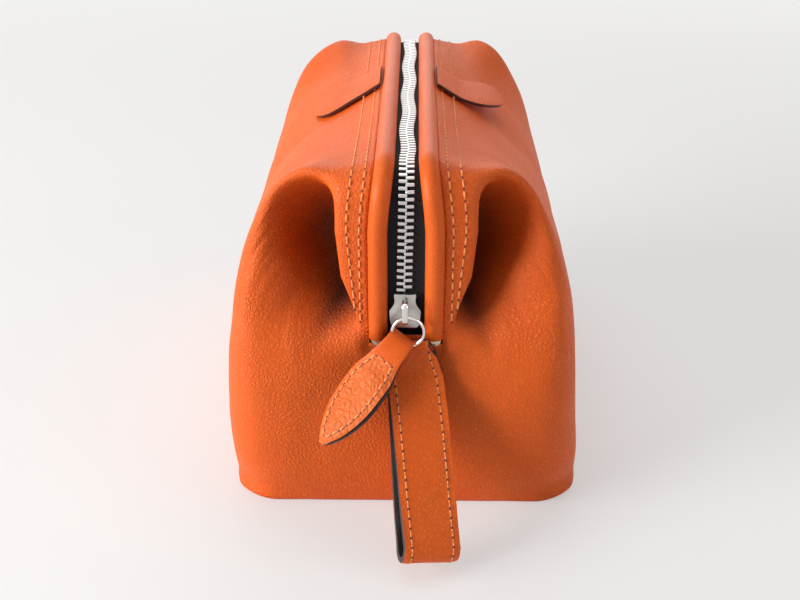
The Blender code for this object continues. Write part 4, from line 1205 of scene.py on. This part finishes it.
def make_crown():
    foot = PLATE_FRONT + CLEARANCE
    top = CROWN_INSIDE - CROWN_STRIP / 2
    low = CROWN_LOW + CROWN_STRIP / 2
    high = low + CROWN_LENGTH
    turns = [math.pi / 2 * i / BEND_STEPS for i in range(BEND_STEPS + 1)]
    path = [(foot, low)]
    for turn in turns:
        path.append((top + CROWN_BEND * (1 - math.sin(turn)), low + CROWN_BEND * (1 - math.cos(turn))))
    path.append((top, (low + high) / 2))
    for turn in turns:
        path.append((top + CROWN_BEND * (1 - math.cos(turn)), high - CROWN_BEND * (1 - math.sin(turn))))
    path.append((foot, high))
    points = [(SLIDER_SHIFT, y, z) for y, z in path]
    rows = tube_rows(points, CROWN_HALF_WIDTH, CROWN_STRIP * 0.6, (1, 0, 0), 16)
    mesh = grid_mesh("crown_bridge", rows, closed=True)
    add_piece("crown_bridge", mesh, BRIGHT_NICKEL, "slider", ["slider_crown"])


def ring_centre():
    return Vector((RING_SHIFT, RING_PLANE, RING_TOP - RING_RADIUS))


def make_ring():
    steps = 96
    axis = Vector((0, 1, 0))
    rows = []
    for i in range(steps + 1):
        angle = 2 * math.pi * i / steps
        spoke = Vector((math.cos(angle), 0, math.sin(angle)))
        centre = ring_centre() + RING_RADIUS * spoke
        rows.append(ring_round(centre, spoke, axis, RING_WIRE_RADIUS, RING_WIRE_RADIUS, 16))
    mesh = grid_mesh("round_ring", rows, closed=True)
    add_piece("round_ring", mesh, BRIGHT_NICKEL, "pull_ring", ["pull_ring"])


# Pull tab

TAB_PLACE_SHARES = (0.12, 0.20, 0.32, 0.46, 0.60, 0.72, 0.82, 0.90, 0.96, 0.99, 1)
TAB_WIDTH_SHARES = (0.60, 0.68, 0.88, 1, 0.97, 0.85, 0.67, 0.46, 0.24, 0.10, 0.04)
TAB_ACROSS = both_ways((0.1, 0.3, 0.5, 0.68, 0.8, 0.9, 0.97, 1))
TAB_LAYER = TAB_LEATHER / 2 + CLEARANCE / 2
TAB_FRONT_START_SHARE = 0.26


def tab_pivot():
    angle = math.radians(TAB_CLOCK_ANGLE)
    return ring_centre() + RING_RADIUS * Vector((math.cos(angle), 0, math.sin(angle)))


def tab_half_width(along):
    if along < TAB_FLAP / 2:
        widening = TAB_NECK_HALF_WIDTH - TAB_FOLD_HALF_WIDTH
        return TAB_FOLD_HALF_WIDTH + widening * smooth_step(along / TAB_FLAP * 2)
    stop = float(np.interp(along / TAB_LENGTH, TAB_PLACE_SHARES, range(len(TAB_PLACE_SHARES))))
    share = through([(size,) for size in TAB_WIDTH_SHARES], stop)[0]
    return TAB_HALF_WIDTH * max(float(share), 0.02)


def tab_axes(along):
    down = Vector(TAB_DIRECTION).normalized()
    face = Vector(TAB_FACE)
    face = (face - face.dot(down) * down).normalized()
    turn = math.radians(TAB_TURN) * smooth_step(along / TAB_FLAP / 2)
    face.rotate(Matrix.Rotation(turn, 3, down))
    return down, face, down.cross(face)


def tab_point(along, height, across):
    down, face, side = tab_axes(along)
    return tab_pivot() + along * down + height * face + across * side


def neck_rise(along):
    """How far the leaf has already climbed towards its fold."""
    share = (TAB_NECK_START - along / TAB_FOLD_RADIUS) / TAB_NECK_STEP
    return (TAB_FOLD_RADIUS - TAB_LAYER) * smooth_step((share + 1) / (TAB_NECK_ROWS + 1))


def tab_path():
    """(along, height) places of the folded leaf's middle, from its tip over the fold to its flap's end."""
    loop, steps = TAB_FOLD_RADIUS, 34
    shorter = (1 - TAB_FRONT_START_SHARE) / steps
    front = [(TAB_LENGTH * (1 - i * shorter), TAB_LAYER) for i in range(steps + 1)]
    neck_places = [loop * (TAB_NECK_START - i * TAB_NECK_STEP) for i in range(TAB_NECK_ROWS)]
    neck = [(along, TAB_LAYER + neck_rise(along)) for along in neck_places]
    turns = [-math.pi * i / 10 for i in range(11)]
    bend = [(loop * math.sin(turn), loop * math.cos(turn)) for turn in turns]
    back = [(along, -height) for along, height in reversed(neck)]
    return front + neck + bend + back + [(TAB_FLAP, -TAB_LAYER)]


def puff(along, across_share):
    """The stuffed middle of the leaf, drawn down along its stitches."""
    share = along / TAB_LENGTH
    inside = smooth_step((share - TAB_FRONT_START_SHARE) / 0.10) * smooth_step((0.97 - share) / 0.12)
    return TAB_PUFF * inside * (1 - abs(across_share) ** 2.6)


def make_tab():
    rows = []
    for along, height in tab_path():
        half = tab_half_width(max(along, 0))
        row = []
        for share in TAB_ACROSS:
            rise = height + (puff(along, share) if height > 0 else 0)
            if height:
                rise -= math.copysign(0.00025 * smooth_step((abs(share) - 0.85) / 0.15), height)
            row.append(tab_point(along, rise, half * share))
        rows.append(row)
    mesh = grid_mesh("pull_tab_front", rows)
    finishes = [TAB_ORANGE, BLACK_EDGE, SMOOTH_ORANGE, BLACK_EDGE]
    tab = add_piece("pull_tab_front", mesh, finishes, "pull_tab", ["pull_tab_leather"])
    down, pivot = tab_axes(0)[0], tab_pivot()
    for face in mesh.polygons:
        if (face.center - pivot).dot(down) < TAB_CROSS_STITCH - TAB_LEATHER:
            face.material_index = 2
    rows = []
    for i in range(33):
        along = TAB_FLAP + (TAB_LENGTH - TAB_FLAP) * (1 - i / 32)
        half = tab_half_width(along)
        rows.append([tab_point(along, -TAB_LAYER, half * share) for share in TAB_ACROSS])
    mesh = grid_mesh("pull_tab_back", rows)
    back = add_piece("pull_tab_back", mesh, [BLACK_LEATHER, BLACK_EDGE], "pull_tab",
                     ["pull_tab_lining"])
    for piece in (tab, back):
        thicken(piece, TAB_LEATHER, rim_slot=1, offset=0.0)
        soften(piece, SOFT_EDGE)
    make_tab_stitches()


def make_tab_stitches():
    """One run of stitches round the leaf and across its neck."""
    start, end = TAB_CROSS_STITCH, TAB_LENGTH - TAB_TIP_MARGIN
    top = TAB_LEATHER + CLEARANCE / 2
    path = []

    def add(along, across):
        half = tab_half_width(along)
        height = top + puff(along, across / half) + neck_rise(along)
        path.append((tab_point(along, height, across), tab_axes(along)[1]))

    def edge(along):
        return max(tab_half_width(along) - TAB_STITCH_INSET, 0.0002)

    steps = 60
    places = [start + (end - start) * i / steps for i in range(1, steps + 1)]
    for i in range(21):
        add(start, edge(start) * (i / 10 - 1))
    for along in places:
        add(along, edge(along))
    for along in reversed(places[:-1]):
        add(along, -edge(along))
    path.append(path[0])
    stitch_row("pull_tab", path, TAB_STITCH_PITCH, "pull_tab", THREAD_RADIUS * 1.05)


# Wrist strap

STRAP_STACK = STRAP_LEATHER + CLEARANCE + STRAP_LINING
STRAP_FACE = -RAIL_REACH - STRAP_SEAT
STRAP_ACROSS = both_ways((0, 0.2, 0.4, 0.6, 0.78, 0.88, 0.95, 0.985, 1))


def strap_middle(share):
    root = STRAP_FACE - STRAP_STACK - STRAP_ROOT_HALF_GAP
    run = STRAP_ROOT_HEIGHT - STRAP_END_HEIGHT
    if share < 0:
        return root, STRAP_ROOT_HEIGHT - share * run
    out, down = through(STRAP_PATH_SHARES, share * (len(STRAP_PATH_SHARES) - 1))
    return root - out * (STRAP_END_REACH + root), STRAP_ROOT_HEIGHT - down * run


def strap_axes(share):
    step_share = 0.01
    y_after, z_after = strap_middle(min(share + step_share, 1))
    y_before, z_before = strap_middle(share - step_share)
    along = Vector((0, y_after - y_before, z_after - z_before)).normalized()
    front = Vector((0, along.z, -along.y))
    side = Vector((1, 0, 0))
    turn = math.radians(STRAP_TURN) * max(share, 0)
    turned_front = math.cos(turn) * front + math.sin(turn) * side
    turned_side = math.cos(turn) * side - math.sin(turn) * front
    return along, turned_front, turned_side


def strap_place(share, height, across):
    y, z = strap_middle(share)
    _, front, side = strap_axes(share)
    middle = Vector((STRAP_SIDE_SHIFT + STRAP_LEAN * max(share, 0), y, z))
    return middle + height * front + across * side


def strap_half_gap(share):
    first, last = STRAP_OPENING_SHARES
    opened = smooth_step((share - first) / (last - first))
    return STRAP_ROOT_HALF_GAP + (STRAP_LOOP_HALF_GAP - STRAP_ROOT_HALF_GAP) * opened


def strap_loop(out, start):
    """(share, height, run ahead) places of a ply, from the front's root round the loop to the back's."""
    steps, end_steps = 54, 14
    front = [start + (1 - start) * i / steps for i in range(steps + 1)]
    places = [(share, strap_half_gap(share) + out, 0.0) for share in front]
    radius = places[-1][1]
    for i in range(1, end_steps):
        turn = math.pi * i / end_steps
        places.append((1, radius * math.cos(turn), radius * math.sin(turn)))
    return places + [(share, -strap_half_gap(share) - out, 0.0) for share in reversed(front)]


def strap_point(place, across, lift=0.0):
    share, height, ahead = place
    along, _, _ = strap_axes(1)
    total = math.hypot(height, ahead) or 1
    grow = 1 + lift / total if ahead else 1
    rise = height * grow if ahead else height + math.copysign(lift, height)
    return strap_place(share, rise, across) + along * ahead * grow


def strap_ripple(place, across):
    """The strap is a little cupped, and no ply lies quite flat."""
    share, height, ahead = place
    seed = Vector((across * 60, share * 7 + ahead * 50, 2.0 if height > 0 else 9.0))
    cup = STRAP_CUP * (1 - (across / STRAP_WIDTH * 2) ** 2)
    return STRAP_RIPPLE * noise.noise(seed * 1.6) + cup


def strap_narrowing(share):
    """The strap is cut narrower where it is sewn in between the hinge eyes."""
    return 1 - STRAP_TOP_NARROWING * smooth_step((STRAP_NARROW_START_SHARE - share) / STRAP_TOP_SHARE)


def make_strap():
    outer_middle = STRAP_LINING + CLEARANCE + STRAP_LEATHER / 2
    inner_thickness = STRAP_LINING + CLEARANCE
    for name, out, thickness, finish, slot, node, start in (
        ("strap_outer", outer_middle, STRAP_LEATHER, STRAP_ORANGE, "leather", "wrist_strap_leather",
         -STRAP_TOP_SHARE),
        ("strap_inner", inner_thickness / 2, inner_thickness, BLACK_LEATHER, "black_leather",
         "wrist_strap_lining", 0.0),
    ):
        rows = []
        for place in strap_loop(out, start):
            row = []
            for share in STRAP_ACROSS:
                across = share * STRAP_WIDTH / 2 * strap_narrowing(place[0])
                edge_drop = 0.0002 * smooth_step((abs(share) - 0.86) / 0.14)
                row.append(strap_point(place, across, strap_ripple(place, across) - edge_drop))
            rows.append(row)
        mesh = grid_mesh(name, rows)
        ply = add_piece(name, mesh, [finish, BLACK_EDGE], "wrist_strap", [node])
        thicken(ply, thickness, rim_slot=1, offset=0.0)
        soften(ply, STRAP_SOFT_EDGE)
    make_strap_stitches()


def make_strap_stitches():
    places = strap_loop(STRAP_LINING + CLEARANCE + STRAP_LEATHER, STRAP_STITCH_START)
    for name, side in SIDES:
        across = side * (STRAP_WIDTH / 2 - STRAP_STITCH_INSET)
        points = [strap_point(place, across, strap_ripple(place, across)) for place in places]
        path = []
        for i, (place, point) in enumerate(zip(places, points)):
            ahead = points[min(i + 1, len(points) - 1)] - points[max(i - 1, 0)]
            side_way = strap_axes(min(place[0], 1))[2]
            path.append((point, side_way.cross(ahead).normalized()))
        stitch_row(f"strap_{name}", path, STRAP_STITCH_PITCH, "wrist_strap")


# Finger tabs

FINGER_ACROSS = both_ways((0, 0.2, 0.4, 0.6, 0.78, 0.9, 0.97, 1))


def top_profiles():
    """(y, x places, z places) of the bag's top on a few lines near the middle of its length."""
    profiles = []
    for line in np.linspace(len(LINE_STEPS), len(LINE_STEPS) - 0.75, 7):
        section = body_section(line)[-40:]
        order = np.argsort(section[:, 0])
        profiles.append((-float(section[-20:, 1].mean()), section[order, 0], section[order, 2]))
    return profiles


def top_surface(profiles, across, y):
    distance = HALF_PATH - abs(y)
    if across <= flange_edge(distance):
        return RAIL_HEIGHT + flange_height(distance, across)
    heights = [float(np.interp(across, xs, zs)) for _, xs, zs in profiles]
    return float(np.interp(abs(y), [place for place, _, _ in profiles], heights))


def finger_section(profiles, lift, y):
    """(across, height) places along a finger tab, from the crease outwards, on this y."""
    across = half_spread(HALF_PATH) + ROLL_RADIUS + 0.0004
    places = []
    step, probe = FINGER_TAB_LENGTH / FINGER_TAB_STEPS, 0.001
    for i in range(FINGER_TAB_STEPS + 1):
        share = i / FINGER_TAB_STEPS
        rise = lift * smooth_step((share - 0.3) / 0.7) + FINGER_TAB_LEATHER + FINGER_TAB_GAP
        here = top_surface(profiles, across, y)
        places.append((across, here + rise))
        slope = (top_surface(profiles, across + probe, y) - here) / probe
        across += step / math.hypot(1, slope)
    return places


def finger_rows(side, sections):
    """Points of a finger leaf, row by row from the crease to its round end."""
    round_start = FINGER_TAB_LENGTH - FINGER_TAB_HALF_WIDTH
    rows = []
    for i in range(FINGER_TAB_STEPS + 1):
        share_out = i / FINGER_TAB_STEPS
        bend = min(max((FINGER_TAB_LENGTH * share_out - round_start) / FINGER_TAB_HALF_WIDTH, 0), 0.9995)
        half_share = (1 - bend ** 2.2) ** 0.5
        crosses = [section[i][0] for section in sections]
        heights = [section[i][1] for section in sections]
        row = []
        for share in FINGER_ACROSS:
            y = FINGER_TAB_CENTRE + FINGER_TAB_HALF_WIDTH * half_share * share
            x = float(np.interp(half_share * share, FINGER_ACROSS, crosses))
            z = float(np.interp(half_share * share, FINGER_ACROSS, heights))
            dip = 0.00025 * smooth_step((abs(share) - 0.86) / 0.14)
            ripple = FINGER_TAB_RIPPLE * noise.noise(Vector((x * 70, y * 55, side * 4.0)))
            row.append((side * x, y, z - dip + ripple * smooth_step((share_out - 0.25) * 3)))
        rows.append(row)
    return rows


def make_finger_tabs():
    profiles = top_profiles()
    hinge = flange_edge(HALF_PATH)
    height = RAIL_HEIGHT - flange_fall(HALF_PATH, hinge)
    places = [FINGER_TAB_CENTRE + FINGER_TAB_HALF_WIDTH * share for share in FINGER_ACROSS]
    for name, side in SIDES:
        sections = [finger_section(profiles, FINGER_TAB_LIFTS[name], y) for y in places]
        mesh = grid_mesh(f"{name}_finger_leaf", finger_rows(side, sections), flip=side < 0)
        leaf = add_piece(f"{name}_finger_leaf", mesh, [ORANGE, BROWN_EDGE])
        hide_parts(f"{name}_finger_tab")
        thicken(leaf, FINGER_TAB_LEATHER, rim_slot=1)
        soften(leaf, SOFT_EDGE)
        start = (side * (hinge - FINGER_TAB_ROOT), FINGER_TAB_CENTRE, height)
        end = (side * (hinge + FINGER_TAB_BEND), FINGER_TAB_CENTRE, height)
        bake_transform(leaf)


# Base, and the metal and inner parts that keep their solids

def dress_solids():
    nodes = frame["nodes"]
    for name, _ in SIDES:
        dress(nodes[f"{name}_frame_wire"], CREAM_BRASS)
        for end in ("front", "rear"):
            dress(nodes[f"{end}_{name}_hinge_rivet"], CREAM_BRASS)
    for end in ("front", "rear"):
        dress(nodes[f"{end}_hinge_link"], DARK_STEEL)
    dress(nodes["base_board"], BOARD)
    dress(nodes["base_lining"], LINING)


def dress(obj, material):
    obj.data.materials.clear()
    obj.data.materials.append(material)


def make_base():
    """The flat leather bottom with a rounded edge."""
    outline = []
    for corner_x, corner_y, start in ((1, 1, 0), (-1, 1, 90), (-1, -1, 180), (1, -1, 270)):
        x = corner_x * (BASE_HALF_WIDTH - BASE_CORNER)
        y = corner_y * (BASE_HALF_LENGTH - BASE_CORNER)
        for i in range(CORNER_STEPS + 1):
            turn = math.radians(start + 90 * i / CORNER_STEPS)
            outline.append((x + BASE_CORNER * math.cos(turn), y + BASE_CORNER * math.sin(turn), 0))
    mesh = slab("bottom_leather", outline, (0, 0, LEATHER))
    piece = add_piece("bottom_leather", mesh, ORANGE, "bag_body", ["base_panel"])
    soften(piece, BOTTOM_ROUNDING, 3, SHARP_ANGLE)
    mesh.set_sharp_from_angle(angle=math.radians(SHARP_ANGLE))


# Stage

def make_world():
    """Soft even light, which the camera and reflections see as the backdrop's white."""
    world = bpy.data.worlds.new("studio")
    bpy.context.scene.world = world
    world.use_nodes = True
    nodes = Nodes(world.node_tree)
    light = nodes.node("Background", None, {"Color": WORLD_TINT, "Strength": WORLD_STRENGTH})
    shown = nodes.node("Background", None, {"Color": BACKDROP_WHITE})
    mixed = nodes.node("MixShader", None, {0: seen_directly(nodes), 1: light, 2: shown})
    nodes.feed(world.node_tree.nodes["World Output"].inputs["Surface"], mixed)


def make_stage():
    bm = bmesh.new()
    bmesh.ops.create_grid(bm, x_segments=1, y_segments=1, size=TABLE_HALF_WIDTH)
    finish = backdrop("pale_table", TABLE_GREY, BACKDROP_WHITE, TABLE_WHITE_SHARE)
    add_piece("table", from_bmesh("table", bm), finish)
    for name, place, target, size, power, colour in LAMPS:
        lamp = bpy.data.lights.new(name, "AREA")
        lamp.shape = "RECTANGLE"
        lamp.size, lamp.size_y = size
        lamp.energy = power
        lamp.color = colour
        obj = bpy.data.objects.new(name, lamp)
        obj.location = place
        aim = Vector(target) - Vector(place)
        obj.rotation_euler = aim.to_track_quat("-Z", "Y").to_euler()
        bpy.context.scene.collection.objects.link(obj)


def make_camera():
    camera = bpy.data.cameras.new("camera")
    camera.lens = CAMERA_LENS
    camera.sensor_width = CAMERA_SENSOR
    camera.clip_start = CAMERA_CLIP_START
    obj = bpy.data.objects.new("camera", camera)
    obj.location = CAMERA_PLACE
    obj.rotation_euler = (math.radians(CAMERA_TILT), 0, math.radians(CAMERA_TURN))
    bpy.context.scene.collection.objects.link(obj)
    bpy.context.scene.camera = obj


bpy.context.scene.view_settings.view_transform = "Standard"
make_camera()
make_world()
make_stage()
dress_solids()
make_base()
make_body()
make_rolls()
make_tapes()
make_teeth()
make_end_stops()
make_flange_stitches()
make_slider()
make_crown()
make_ring()
make_tab()
make_strap()
make_finger_tabs()
